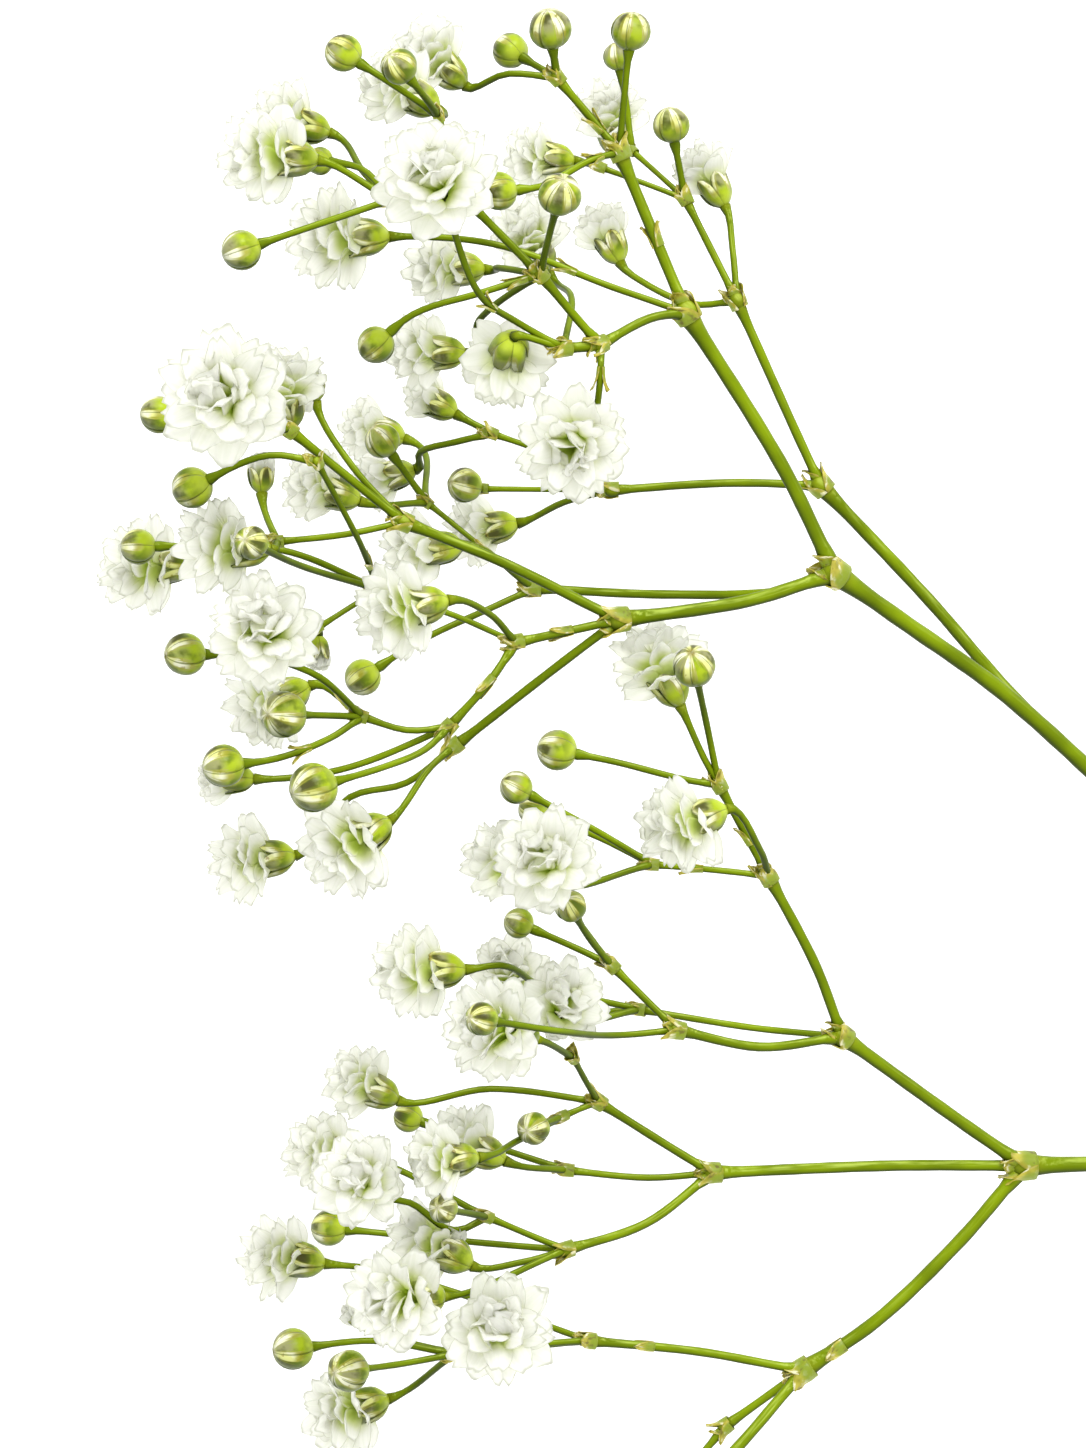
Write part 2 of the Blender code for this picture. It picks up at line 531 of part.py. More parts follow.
def bloom_body(name, stems, material):
    """A bloom in one closed surface: a pointed foot, the outer ring, a waist, the inner ring, the heart."""
    _, _, angles, width, _ = BLOOMS[name]
    length, _ = calyx_size(width)
    obstacles = obstacles_of(name, stems)
    facing = facing_of(angles)
    root = root_of(name)
    polar = min(WIDEST_OPEN, LEAST_OPEN + (width - HALF_OPEN) * OPENING)
    turn = math.radians(TURN_STEP * int(name[-2:]))
    outer_height = max(width * OUTER_HUB, length + CLEARANCE + BLADE)
    outer_hub = root + facing * outer_height * MM
    inner_hub = outer_hub + facing * width * RING_STEP * MM
    outer_places, inner_places = places_round(OUTER_RIM, 0), places_round(INNER_RIM, 0.5)
    outer_top, outer_under = petal_rims(name, outer_hub, polar, OUTER_RIM, outer_places, turn, obstacles)
    inner_top, inner_under = petal_rims(name, inner_hub, polar / 2, INNER_RIM, inner_places, turn, obstacles)
    waist_radius = WAIST_WIDTH * off_axis(outer_top + inner_under, root, facing)
    waist_middle = inner_hub + facing * WAIST_LIFT * MM
    turns = [turn + petal * 2 * math.pi / PETALS for petal in range(PETALS)]
    waist = [waist_middle + out * waist_radius for out in spokes_round(facing, turns)]
    foot = root + facing * (length * MOUTH_HEIGHT + FOOT_GAP) * MM
    heart = inner_hub + facing * width * HEART_HEIGHT * MM
    points, rings = [], []
    for ring in ([foot], outer_under, outer_top, waist, inner_under, inner_top, [heart]):
        rings.append(list(range(len(points), len(points) + len(ring))))
        points += ring
    foot_pole, low, high, waist_ring, inner_low, inner_high, heart_pole = rings
    faces = fan(foot_pole[0], low) + band(low, high) + stitched(high, outer_places, waist_ring)
    faces += stitched(inner_low, inner_places, waist_ring)
    faces += band(inner_low, inner_high) + fan(heart_pole[0], inner_high)
    made = new_object(name, points, faces)
    made.data.materials.append(material)
    return made


def stitched(ring, places, waist):
    """Triangles between a ring of petals and the waist, which has one point for each whole place."""
    faces = []
    nearest = [math.floor(place + 0.5) % PETALS for place in places + places[:1]]
    for k, here in enumerate(nearest[:-1]):
        after, there = ring[(k + 1) % len(ring)], nearest[k + 1]
        faces.append((ring[k], after, waist[here]))
        if here != there:
            faces.append((after, waist[there], waist[here]))
    return faces


def bract(base, along, outward):
    """A small pointed scale that stands off a knot."""
    width = along.cross(outward).normalized() * BRACT_WIDTH / 2 * MM
    points = [base + width, base - width, base - outward * BRACT_THICKNESS * MM]
    points.append(base + (along + outward * BRACT_LEAN).normalized() * BRACT_LENGTH * MM)
    return new_object("bract", points, [(0, 1, 2)] + fan(3, [0, 1, 2]))


def bracts(stems):
    """A scale on one side of each knot, by turns the left and the right."""
    pieces = []
    for number, (carried, points, width) in enumerate(stems):
        if carried in FORKS and width > THINNEST_KNOT:
            along = (points[-1] - points[-2]).normalized()
            outward = level_across(along) * (-1) ** number
            pieces.append(bract(points[-1] + outward * width * BRACT_SEAT * MM, along, outward))
    return pieces


def main_stem():
    """The stretch that lies on the surface, from the slanted cut to the first fork."""
    route = [spot(CUT_END), spot(LIFT_OFF), spot(FORKS["main"][1])]
    stem = stem_to_fork(route, MAIN_WIDTH, MAIN_SIDES)
    for k in range(MAIN_SIDES):
        corner = stem.data.vertices[k]
        corner.co.x += (corner.co.z / (MAIN_HEIGHT * MM) - 1) * CUT_SLANT / 2 * MM
    return stem


def joined(name, pieces, material):
    """One closed body made of overlapping pieces."""
    body = pieces[0]
    body.name = name
    body.data.name = name
    others = bpy.data.collections.new(name + " pieces")
    bpy.context.scene.collection.children.link(others)
    for piece in pieces[1:]:
        bpy.context.scene.collection.objects.unlink(piece)
        others.objects.link(piece)
    union = body.modifiers.new("union", "BOOLEAN")
    union.operation = "UNION"
    union.operand_type = "COLLECTION"
    union.collection = others
    union.solver = "MANIFOLD"
    bpy.context.view_layer.objects.active = body
    bpy.ops.object.modifier_apply(modifier=union.name)
    for piece in pieces[1:]:
        bpy.data.objects.remove(piece)
    bpy.data.collections.remove(others)
    body.data.materials.clear()
    body.data.materials.append(material)
    return body


def green_body(stems, material):
    """All that is green, fused to one piece."""
    pieces = [main_stem()]
    for carried, points, width in stems:
        if carried in FORKS:
            pieces.append(stem_to_fork(points, width))
        elif carried in BUDS:
            pieces.append(bud_on_pedicel(points[:-1], points[-1], BUDS[carried][2]))
        else:
            _, _, angles, bloom_width, _ = BLOOMS[carried]
            pieces.append(calyx_on_pedicel(points, facing_of(angles), bloom_width))
    return joined("stem", pieces + bracts(stems), material)


def material(name, colour, roughness):
    """A plain surface of one colour."""
    made = bpy.data.materials.new(name)
    made.use_nodes = True
    shader = made.node_tree.nodes["Principled BSDF"]
    shader.inputs["Base Color"].default_value = (*colour, 1)
    shader.inputs["Roughness"].default_value = roughness
    shader.inputs["Metallic"].default_value = 0
    return made


def main():
    for old in list(bpy.data.objects):
        bpy.data.objects.remove(old)
    green = material("stem green", (0.21, 0.36, 0.03), 0.45)
    white = material("petal white", (0.9, 0.91, 0.86), 0.6)
    stems = routes()
    green_body(stems, green)
    for name, (_, _, _, width, _) in BLOOMS.items():
        if width < HALF_OPEN:
            opening_tip(name, white)
        else:
            bloom_body(name, stems, white)


main()
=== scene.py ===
"""A cut spray of double gypsophila (baby's breath) on a white surface, seen from straight above.

The plan is the part's own: each fork, bud and bloom is an (x, y, height) in millimetres, where x and y are
what an eye sees from EYE_HEIGHT. Smooth stems, papery bracts, buds and cups of five sepals, and single petals
grow along that plan, and replace the plain solids.
"""

import math
import random

import bmesh
import bpy
import numpy as np
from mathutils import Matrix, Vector


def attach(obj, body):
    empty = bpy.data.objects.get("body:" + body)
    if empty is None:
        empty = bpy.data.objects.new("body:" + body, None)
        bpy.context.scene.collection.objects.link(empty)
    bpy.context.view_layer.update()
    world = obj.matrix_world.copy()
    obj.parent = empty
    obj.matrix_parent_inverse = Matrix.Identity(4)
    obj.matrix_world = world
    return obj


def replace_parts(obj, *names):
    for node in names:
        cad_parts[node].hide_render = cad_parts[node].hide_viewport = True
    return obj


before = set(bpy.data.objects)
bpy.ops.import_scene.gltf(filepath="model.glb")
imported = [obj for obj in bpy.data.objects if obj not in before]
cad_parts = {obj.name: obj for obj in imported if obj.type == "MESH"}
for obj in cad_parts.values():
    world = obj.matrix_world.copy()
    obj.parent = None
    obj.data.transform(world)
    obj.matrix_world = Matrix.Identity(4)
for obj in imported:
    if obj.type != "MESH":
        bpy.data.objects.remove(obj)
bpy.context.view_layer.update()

# Lengths are in millimetres, unless a comment says otherwise. No point lies under LOWEST, and skins are
# painted lighter where they face the painted light's direction, and painted with shade where they face away.
MM = 0.001
EYE_HEIGHT = 800.0
PLAN_CENTRE = (42.8, -11.3)
PIXELS_PER_MM = 12
PHOTO_PIXELS_HIGH = 1448
PHOTO_HEIGHT = PHOTO_PIXELS_HIGH / PIXELS_PER_MM
PEDICEL_WIDTH = 0.56
LOWEST = 0.06
# The direction of the painted light: skins are painted lighter facing it and darker facing away.
PAINTED_LIGHT_FROM = Vector((0.15, 0.5, 0.85)).normalized()

# The main stem is round, but runs as high as the solid's, which lies on one of its six sides.
MAIN_WIDTH = 1.7
CAD_MAIN_SIDES = 6
MAIN_HEIGHT = MAIN_WIDTH / 2 * math.cos(math.pi / CAD_MAIN_SIDES)
MAIN_SIDES = 16
MAIN_STEP = 1.5
CUT_END = (120.6, -37.2, MAIN_HEIGHT)
CUT_SLANT = 1.4
LIFT_OFF = (90.0, -35.9, MAIN_HEIGHT)

# Each fork: the fork it grows from, its place, the width of the stem that leads to it, bends on the way.
# u is the upper limb and l the lower limb.
FORKS = {
    "main": (None, (79.8, -35.5, 1.6), 1.67, []),
    "u1": ("main", (49.3, -7.3, 9), 1.42, []),
    "u2": ("u1", (24.4, 12.5, 24), 1.33, [(38.1, 2.8, 16), (29.8, 8.7, 21)]),
    "u3": ("u2", (12.0, 34.2, 30), 1.17, [(20.2, 21.0, 26)]),
    "u4": ("u3", (6.4, 47.6, 31), 0.92, []),
    "u5": ("u4", (1.2, 53.8, 32), 0.67, []),
    "u6": ("u3", (4.8, 31.6, 35), 0.75, [(8.9, 33.8, 33)]),
    "u7": ("u6", (-0.2, 37.4, 38), 0.71, []),
    "u8": ("u7", (-6.1, 43.4, 40), 0.67, []),
    "u9": ("u8", (-12.6, 43.7, 41), 0.62, []),
    "u10": ("u8", (-8.7, 50.6, 43), 0.46, []),
    "u11": ("u6", (1.8, 31.3, 36), 0.71, []),
    "u12": ("u2", (6.4, 8.7, 29), 1.08, [(17.2, 10.3, 26)]),
    "u13": ("u12", (-11.5, 16.8, 35), 0.83, [(-3.2, 13.4, 33)]),
    "u14": ("u13", (-21.1, 24.5, 39), 0.71, []),
    "u15": ("u13", (-22.1, 15.2, 36), 0.54, [(-16.5, 15.8, 36)]),
    "u16": ("u12", (-2.2, 6.8, 31), 0.71, []),
    "u17": ("u16", (-13.6, 11.2, 27), 0.5, [(-7.0, 8.9, 28)]),
    "u18": ("u17", (-18.8, 8.0, 29), 0.46, []),
    "u19": ("u17", (-18.8, 21.8, 42), 0.5, [(-15.4, 15.4, 36)]),
    "u20": ("u16", (-7.8, -0.2, 32), 0.67, [(-4.5, 3.5, 32)]),
    "u21": ("u20", (-15.0, 0.6, 33), 0.54, [(-11.4, -0.5, 33)]),
    "u22": ("u12", (-7.3, -1.8, 26), 0.75, []),
    "u23": ("u2", (-0.7, 11.3, 15), 0.75, [(20.6, 11.2, 21), (10.0, 10.8, 16)]),
    "u24": ("u23", (-9.6, 18.4, 14), 0.46, []),
    "u25": ("u1", (23.2, 19.8, 14), 1.04, [(39.3, 2.2, 10.5), (32.2, 10.3, 12)]),
    "u26": ("u25", (16.2, 35.2, 16), 0.79, []),
    "u27": ("u26", (11.9, 43.7, 15), 0.62, []),
    "u28": ("u27", (7.4, 47.8, 12), 0.46, []),
    "u29": ("u27", (4.8, 46.4, 15), 0.46, []),
    "u30": ("u25", (5.8, 19.5, 14), 0.71, [(16.0, 20.1, 14)]),
    "u31": ("u30", (-4.2, 24.2, 15), 0.5, [(2.2, 21.8, 14.5)]),
    "u32": ("u30", (-5.0, 19.6, 13), 0.46, []),
    "l1": ("main", (40.2, -36.8, 9), 1.29, [(58.9, -36.3, 4)]),
    "l2": ("l1", (25.0, -26.1, 18), 1.04, []),
    "l3": ("l2", (18.8, -12.7, 23), 0.83, [(22.8, -20.3, 20)]),
    "l4": ("l3", (14.7, -5.1, 25), 0.67, []),
    "l5": ("l3", (9.2, -11.7, 23), 0.54, []),
    "l6": ("l2", (11.2, -25.5, 23), 0.79, [(18.0, -26.9, 21)]),
    "l7": ("l6", (5.8, -20.2, 24), 0.62, []),
    "l8": ("l2", (8.1, -23.8, 14), 0.58, [(17.4, -25.3, 15)]),
    "l9": ("l1", (14.2, -37.4, 14), 0.92, [(29.5, -36.8, 11)]),
    "l10": ("l9", (4.6, -31.5, 18), 0.71, []),
    "l11": ("l10", (1.6, -32.7, 20), 0.5, []),
    "l12": ("l9", (2.1, -37.2, 14), 0.58, [(8.8, -37.8, 14)]),
    "l13": ("l9", (2.0, -43.8, 18), 0.75, [(8.6, -41.6, 16)]),
    "l14": ("l13", (-4.6, -41.1, 21), 0.54, []),
    "l15": ("l10", (2.5, -27.8, 24), 0.5, []),
    "l16": ("l1", (21.8, -53.8, 8), 1.12, [(34.8, -43.0, 9), (27.7, -49.8, 8.5)]),
    "l17": ("l16", (3.9, -51.4, 14), 0.75, [(13.0, -52.3, 11)]),
    "l18": ("l17", (-7.3, -52.5, 14), 0.54, []),
    "l19": ("l16", (15.2, -58.5, 7), 0.71, []),
    "l20": ("l19", (8.1, -67.2, 7), 0.62, []),
    "l21": ("l16", (9.3, -67.2, 15), 0.92, [(16.2, -60.3, 11)]),
}

# Each closed bud: the fork it grows from, its middle, its width, bends of its pedicel.
BUDS = {
    "bud_01": ("u10", (-16.6, 55.9, 46), 2.8, [(-11.9, 52.9, 46)]),
    "bud_02": ("u10", (-12.0, 54.8, 49), 2.7, [(-10.2, 52.7, 47)]),
    "bud_03": ("u5", (-2.7, 56.1, 29), 2.7, []),
    "bud_04": ("u5", (0.6, 57.9, 34), 3.2, []),
    "bud_05": ("u4", (7.3, 57.7, 34), 3.0, []),
    "bud_06": ("u28", (6.2, 55.6, 13), 2.2, [(6.9, 52.0, 12)]),
    "bud_07": ("u27", (10.7, 49.9, 17), 2.8, []),
    "bud_08": ("u9", (-25.1, 39.5, 44), 3.0, [(-15.6, 42.7, 43)]),
    "bud_09": ("u9", (-18.6, 46.9, 36), 2.1, [(-15.2, 46.3, 38)]),
    "bud_10": ("u4", (-3.7, 44.4, 37), 2.9, [(3.8, 46.9, 34), (-0.2, 44.8, 36)]),
    "bud_11": ("u7", (1.4, 44.1, 45), 3.2, []),
    "bud_12": ("u7", (-13.9, 31.6, 38), 2.8, [(-5.3, 35.9, 39), (-10.9, 34.1, 38.5)]),
    "bud_13": ("u14", (-32.0, 25.8, 38), 2.8, [(-25.2, 25.5, 38)]),
    "bud_14": ("u19", (-29.2, 19.7, 40), 3.1, [(-22.8, 22.4, 42)]),
    "bud_15": ("u17", (-33.7, 14.8, 33), 2.7, [(-21.8, 14.5, 32), (-27.8, 14.8, 33)]),
    "bud_16": ("u17", (-24.3, 15.1, 45), 2.5, [(-20.2, 13.2, 36)]),
    "bud_17": ("u18", (-29.8, 5.8, 31), 3.2, [(-24.4, 6.0, 29)]),
    "bud_18": ("u23", (-15.0, 3.9, 17), 2.8, [(-4.5, 9.6, 16), (-10.1, 7.0, 17)]),
    "bud_19": ("u21", (-21.6, 0.8, 40), 3.5, []),
    "bud_20": ("u21", (-26.6, -3.5, 40), 3.2, [(-17.8, -1.2, 36), (-22.3, -2.9, 39)]),
    "bud_21": ("u20", (-19.1, -5.3, 40), 3.7, [(-9.8, -2.1, 34), (-13.0, -3.5, 37)]),
    "bud_22": ("u24", (-13.4, 23.6, 16), 2.7, []),
    "bud_23": ("u32", (-6.5, 19.9, 14), 2.7, []),
    "bud_24": ("l4", (12.6, 4.8, 33), 3.2, [(13.6, 0.2, 28)]),
    "bud_25": ("l4", (1.2, -2.2, 26), 3.1, [(12.2, -4.7, 26), (5.8, -3.1, 26)]),
    "bud_26": ("l5", (-2.2, -5.3, 27), 2.5, [(4.8, -9.1, 25)]),
    "bud_27": ("l5", (-0.8, -7.2, 22), 2.3, [(4.8, -9.5, 22)]),
    "bud_28": ("l7", (2.3, -15.2, 31), 2.4, [(3.9, -17.9, 27)]),
    "bud_29": ("l7", (-2.0, -16.6, 25), 2.3, [(3.9, -19.2, 24)]),
    "bud_30": ("l6", (-5.1, -24.6, 41), 2.5, [(6.8, -25.9, 25), (1.4, -25.6, 35)]),
    "bud_31": ("l12", (-11.2, -32.8, 12), 2.3, []),
    "bud_32": ("l11", (-0.8, -33.7, 25), 2.5, []),
    "bud_33": ("l14", (-8.3, -40.4, 29), 2.2, []),
    "bud_34": ("l13", (-17.8, -42.0, 15), 2.8, []),
    "bud_35": ("l18", (-20.8, -52.1, 17), 3.2, [(-14.1, -51.4, 15)]),
    "bud_36": ("l18", (-16.2, -53.9, 22), 3.2, [(-11.7, -53.3, 17)]),
    "bud_37": ("l20", (-0.2, -66.2, 10), 3.0, []),
    "bud_38": ("l21", (13.1, -77.2, 20), 3.0, []),
}

# Each bloom: the fork it grows from, its middle, the way it faces (compass angle in plan, then lift
# above the horizon, in degrees), its width, bends of its pedicel. The small ones are only half open.
BLOOMS = {
    "bloom_01": ("u5", (-9.2, 55.5, 30), (140, 20), 7.0, [(-2.8, 54.2, 32)]),
    "bloom_02": ("u10", (-11.9, 53.0, 38), (150, 5), 7.0, []),
    "bloom_03": ("u9", (-22.9, 47.4, 43), (175, 15), 8.0, []),
    "bloom_04": ("u9", (-21.1, 50.2, 33), (165, 15), 6.7, [(-14.8, 45.8, 38)]),
    "bloom_05": ("u11", (-8.8, 45.2, 50), (110, 55), 9.8, [(-2.0, 33.4, 38), (-5.3, 35.8, 42)]),
    "bloom_06": ("u3", (-17.1, 40.5, 30), (182, 10), 8.3, [(5.8, 36.4, 31), (-4.1, 40.0, 31)]),
    "bloom_07": ("u28", (5.7, 50.6, 3.5), (100, 20), 6.7, []),
    "bloom_08": ("u29", (-0.4, 47.2, 12), (175, 10), 6.0, []),
    "bloom_09": ("u26", (13.7, 45.7, 13), (120, -5), 5.8, [(15.8, 39.6, 15)]),
    "bloom_10": ("u26", (5.3, 40.8, 10), (115, -10), 5.3, [(12.5, 35.0, 14), (8.2, 36.9, 12)]),
    "bloom_11": ("u11", (-1.1, 40.5, 22), (120, 30), 6.7, [(2.4, 35.3, 30)]),
    "bloom_12": ("u7", (-8.3, 38.0, 26), (178, 10), 6.7, [(-3.6, 38.0, 33)]),
    "bloom_13": ("u7", (-9.8, 31.0, 26), (178, 5), 6.5, [(-5.3, 33.7, 31)]),
    "bloom_14": ("u31", (-9.3, 27.0, 13), (150, -5), 4.7, []),
    "bloom_15": ("u11", (-3.1, 30.2, 34), (250, -60), 7.7, []),
    "bloom_16": ("u6", (2.6, 23.4, 38), (230, 60), 9.0, [(4.8, 29.2, 36)]),
    "bloom_17": ("u30", (-5.1, 16.2, 8), (190, 0), 6.0, [(1.8, 18.5, 11)]),
    "bloom_18": ("u23", (-10.1, 14.5, 20), (186, -10), 6.7, []),
    "bloom_19": ("u24", (-14.3, 24.5, 2.9), (165, 0), 5.7, []),
    "bloom_20": ("u31", (-13.2, 20.5, 9), (195, 0), 5.2, [(-7.3, 23.5, 14), (-10.2, 22.7, 12)]),
    "bloom_21": ("u24", (-18.4, 19.7, 20), (160, 0), 6.5, []),
    "bloom_22": ("u14", (-26.4, 27.3, 50), (130, 62), 10.5, []),
    "bloom_23": ("u14", (-21.5, 28.0, 36), (95, 20), 7.0, []),
    "bloom_24": ("u13", (-19.2, 28.3, 33), (100, 10), 2.8, [(-15.9, 21.5, 35)]),
    "bloom_25": ("u15", (-26.8, 14.8, 40), (176, 12), 7.8, []),
    "bloom_26": ("u15", (-33.1, 13.2, 27), (182, 18), 8.0, []),
    "bloom_27": ("u21", (-23.2, 7.7, 44), (120, 60), 9.3, [(-18.6, 3.9, 38)]),
    "bloom_28": ("u21", (-22.9, 1.6, 30), (205, 10), 7.3, []),
    "bloom_29": ("u18", (-18.8, 6.0, 24), (270, 0), 2.8, []),
    "bloom_30": ("u16", (-11.8, 9.5, 40), (192, 15), 7.7, [(-4.5, 9.2, 35)]),
    "bloom_31": ("u22", (-24.4, -11.3, 24), (185, 12), 7.3, [(-11.4, -4.9, 25), (-16.1, -6.1, 24)]),
    "bloom_32": ("u22", (-16.2, -10.2, 33), (212, 25), 8.3, [(-9.3, -3.5, 28)]),
    "bloom_33": ("u20", (-26.5, -4.5, 30), (178, 0), 4.7, [(-16.9, -3.8, 31)]),
    "bloom_34": ("u15", (-23.5, 20.9, 32), (92, 0), 3.2, []),
    "bloom_35": ("l4", (9.6, 5.0, 27), (118, 10), 7.7, [(13.4, -2.8, 26)]),
    "bloom_36": ("l3", (11.7, -8.4, 32), (200, 20), 7.7, [(18.1, -10.5, 27)]),
    "bloom_37": ("l5", (0.4, -11.4, 36), (120, 62), 8.8, []),
    "bloom_38": ("l7", (-3.2, -11.5, 24), (150, 20), 7.2, []),
    "bloom_39": ("l8", (-10.4, -20.5, 28), (180, 12), 7.7, [(-0.2, -21.8, 20), (-3.6, -20.1, 26)]),
    "bloom_40": ("l15", (-3.8, -25.5, 34), (165, 45), 8.7, []),
    "bloom_41": ("l8", (1.6, -23.5, 28), (60, 60), 7.7, []),
    "bloom_42": ("l8", (-2.6, -21.0, 16), (100, 40), 7.0, []),
    "bloom_43": ("l10", (-15.1, -30.0, 20), (155, 10), 6.5, [(-4.4, -30.4, 18)]),
    "bloom_44": ("l14", (-18.2, -35.7, 16), (170, 10), 7.0, []),
    "bloom_45": ("l14", (-15.2, -38.0, 30), (130, 62), 8.2, [(-7.3, -42.2, 22), (-11.1, -39.9, 25)]),
    "bloom_46": ("l11", (-8.6, -36.4, 31), (184, 20), 6.5, [(-1.9, -34.6, 24)]),
    "bloom_47": ("l12", (-6.2, -35.0, 19), (155, 0), 6.5, []),
    "bloom_48": ("l13", (-9.4, -43.2, 22), (150, 5), 7.7, [(-1.6, -44.8, 20)]),
    "bloom_49": ("l17", (-21.8, -44.5, 3.8), (172, 10), 7.3, [(-7.8, -47.2, 6), (-14.1, -45.4, 4)]),
    "bloom_50": ("l13", (-11.9, -47.8, 30), (178, 40), 8.7, []),
    "bloom_51": ("l17", (-3.8, -50.3, 26), (100, 72), 9.3, []),
    "bloom_52": ("l18", (-15.2, -49.3, 13), (140, 0), 3.2, []),
    "bloom_53": ("l18", (-16.5, -57.3, 9), (195, 20), 7.7, []),
    "bloom_54": ("l20", (1.5, -70.8, 3.9), (205, 10), 7.5, []),
    "bloom_55": ("l21", (3.5, -77.6, 18), (225, 30), 7.8, []),
}

# Scales on the way along a stem: the route they sit on, and their share of the way.
SCALES = {
    "u4": 0.45, "u5": 0.35, "u16": 0.5, "u24": 0.4, "u20": 0.5, "u19": 0.3, "l4": 0.4, "l5": 0.55,
    "bloom_05": 0.45, "bloom_06": 0.4, "bloom_28": 0.35, "bloom_16": 0.4, "bud_10": 0.2, "bud_12": 0.15,
    "bud_20": 0.5, "l17": 0.7, "l21": 0.6, "l16": 0.85,
}

# A stem swells near its root and where it meets a knot, bud or cup, and is golden there. Each row is (size,
# place, spread), in widths of the stem, and at a bud or cup in millimetres. A STOUT stem has more sides.
STEM_STEP = 0.9
ROOT_SWELLING = (0.42, 1.15, 0.55)
KNOT_SWELLING = (0.45, 0.0, 1.5)
HEAD_SWELLING = (0.8, 0.0, 0.7)
ROOT_TINT = (1, 0, 1.6)
TIP_TINT = (1, 0, 1.4)
MAIN_SWELLING = 0.25
UNEVENNESS = 0.02
STOUT = 0.8
STOUT_SIDES = 12
SLIM_SIDES = 9

# How far a stem first keeps to its parent's way, and how strongly it arrives on its own.
PARENT_PULL = 0.07
ARRIVAL_PULL = 0.8

# A knot's half width and half length are shares of its stem's width.
KNOT_RADIUS = 0.86
KNOT_HALF_LENGTH = 0.95
KNOT_RINGS = 9
KNOT_SIDES = 14
KNOT_TONE = 0.75

# A bract or scale clasps its stem by an angle to each side, in degrees, and narrows to a tip that stands off.
SCALE_ROWS = 10
SCALE_LENGTH = 1.9
BRACT_CLASP = 98
COLLAR_CLASP = 120
SCALE_CLASP = 70
BELOW_CENTRE = 0.3
TIP_STANDS_OFF = 0.36
BRACT_FORM = {"bulge": 0.04, "crumple": 0.07}
COLLAR_FORM = {"crumple": 0.1}
SCALE_FORM = {"crumple": 0.12}

# A cup's length and rim radius: the least, and what each millimetre of its bloom's width adds. The rows of
# its sepals are (share of that length, share of that radius, half the angle in degrees).
SEPALS = 5
SEPAL_CLASP = 42
BUD_ROWS = 13
BUD_STRETCH = 1.05
BUD_SHARE = 0.97
BUD_FORM = {"skew": 0.05, "bulge": 0.09, "crumple": 0.012, "columns": 11}
CUP_FORM = {"skew": 0.06, "bulge": 0.1, "crumple": 0.04}
CUP_LENGTH = (1.0, 0.2)
CUP_RADIUS = (0.55, 0.09)
CUP_ROWS = (
    (0, 0.28, 42), (0.09, 0.48, 42), (0.2, 0.7, 42), (0.34, 0.9, 42), (0.5, 1.02, 41),
    (0.68, 1.09, 39), (0.86, 1.13, 35), (1.02, 1.16, 29), (1.16, 1.18, 20), (1.26, 1.19, 4),
)

# A bloom has HEART_PETALS, OUTER_PETALS, and PETALS_A_MM more for each millimetre of its width. At a width of
# HALF_OPEN its rim leans out by LEAST_OPEN degrees, and by OPENING more for each millimetre.
GOLDEN_ANGLE = math.pi * (3 - math.sqrt(5))
HEART_PETALS = 8
OUTER_PETALS = 8
PETALS_A_MM = 2.5
HALF_OPEN = 4
LEAST_OPEN = 57
OPENING = 14
WIDEST_OPEN = 106

# Where a petal starts, bows and ends, as shares of the bloom's width, the cup's mouth or its own length. A
# pair is the heart's share and what the rim's petals add to it, or the two ends of a random draw.
THROAT = 0.5
HEART_LIFT = 0.22
MOUTH_SPREAD = (0.15, 0.55)
BOW = (0.3, 0.25)
REACH = (1.0, 1.15)
BLADE_WIDTH = (0.25, 0.09)
BLADE_RANGE = (0.88, 1.12)
HOLLOW = (-0.15, 0.4)
HEART_HEIGHT = (0.36, 0.58)
HEART_LEAN = (-0.1, 0.16)
HEART_TIP = 0.9
HEART_BOW = 0.24
LEAN_DRIFT = 0.1
TURN_DRIFT = 0.2
TWIST = 0.5
FACE_UP = 1.3

# A petal's blade: its claw's width, its broadest place, how deep its end is cut, and how much it ruffles.
PETAL_THICKNESS = 0.07
CLAW = 0.15
BROADEST = 0.6
END_TAPER = 0.6
END_ROUNDING = 0.13
DEEPEST_NOTCH = 0.1
NOTCH_WIDTH = 0.3
SCALLOPS = 0.014
LONG_RUFFLE = 0.17
SHORT_RUFFLE = 0.05
ALONG = np.array((0, 0.16, 0.32, 0.46, 0.59, 0.71, 0.82, 0.92, 1))
ACROSS = np.sin(np.linspace(-math.pi / 2, math.pi / 2, 9))

# A petal keeps clear of all within NEARBY widths of its bloom, at the places WATCHED across its blade.
PETAL_GAP = 0.15
NEARBY = 0.75
WATCHED = (-0.7, 0, 0.7)
REACH_STEPS = 12
SHORTEST_REACH = 0.42
BUD_LENGTH = 0.001


def spot(place):
    """The point in metres that is seen at x, y from EYE_HEIGHT, at its own height."""
    x, y, height = place
    drawn_in = (EYE_HEIGHT - height) / EYE_HEIGHT
    return Vector((x * drawn_in - PLAN_CENTRE[0], y * drawn_in - PLAN_CENTRE[1], height)) * MM


def facing_of(angles):
    """The unit vector of a compass angle and a lift, in degrees."""
    turn, lift = (math.radians(angle) for angle in angles)
    return Vector((math.cos(turn) * math.cos(lift), math.sin(turn) * math.cos(lift), math.sin(lift)))


def axes_round(direction):
    """Two unit vectors square to a direction and to each other."""
    side = Vector((-direction.y, direction.x, 0)).normalized()
    return side, direction.cross(side)


def smoothstep(value):
    """An even rise from 0 to 1."""
    value = np.clip(value, 0, 1)
    return value * value * (3 - 2 * value)


def swelling(distance, size, place, spread):
    """A smooth rise to its size at its place, with little left of it past its spread."""
    return size * math.exp(-(((distance - place) / spread) ** 2))


def placed(name, data):
    """A new object in the scene."""
    thing = bpy.data.objects.new(name, data)
    bpy.context.scene.collection.objects.link(thing)
    return thing


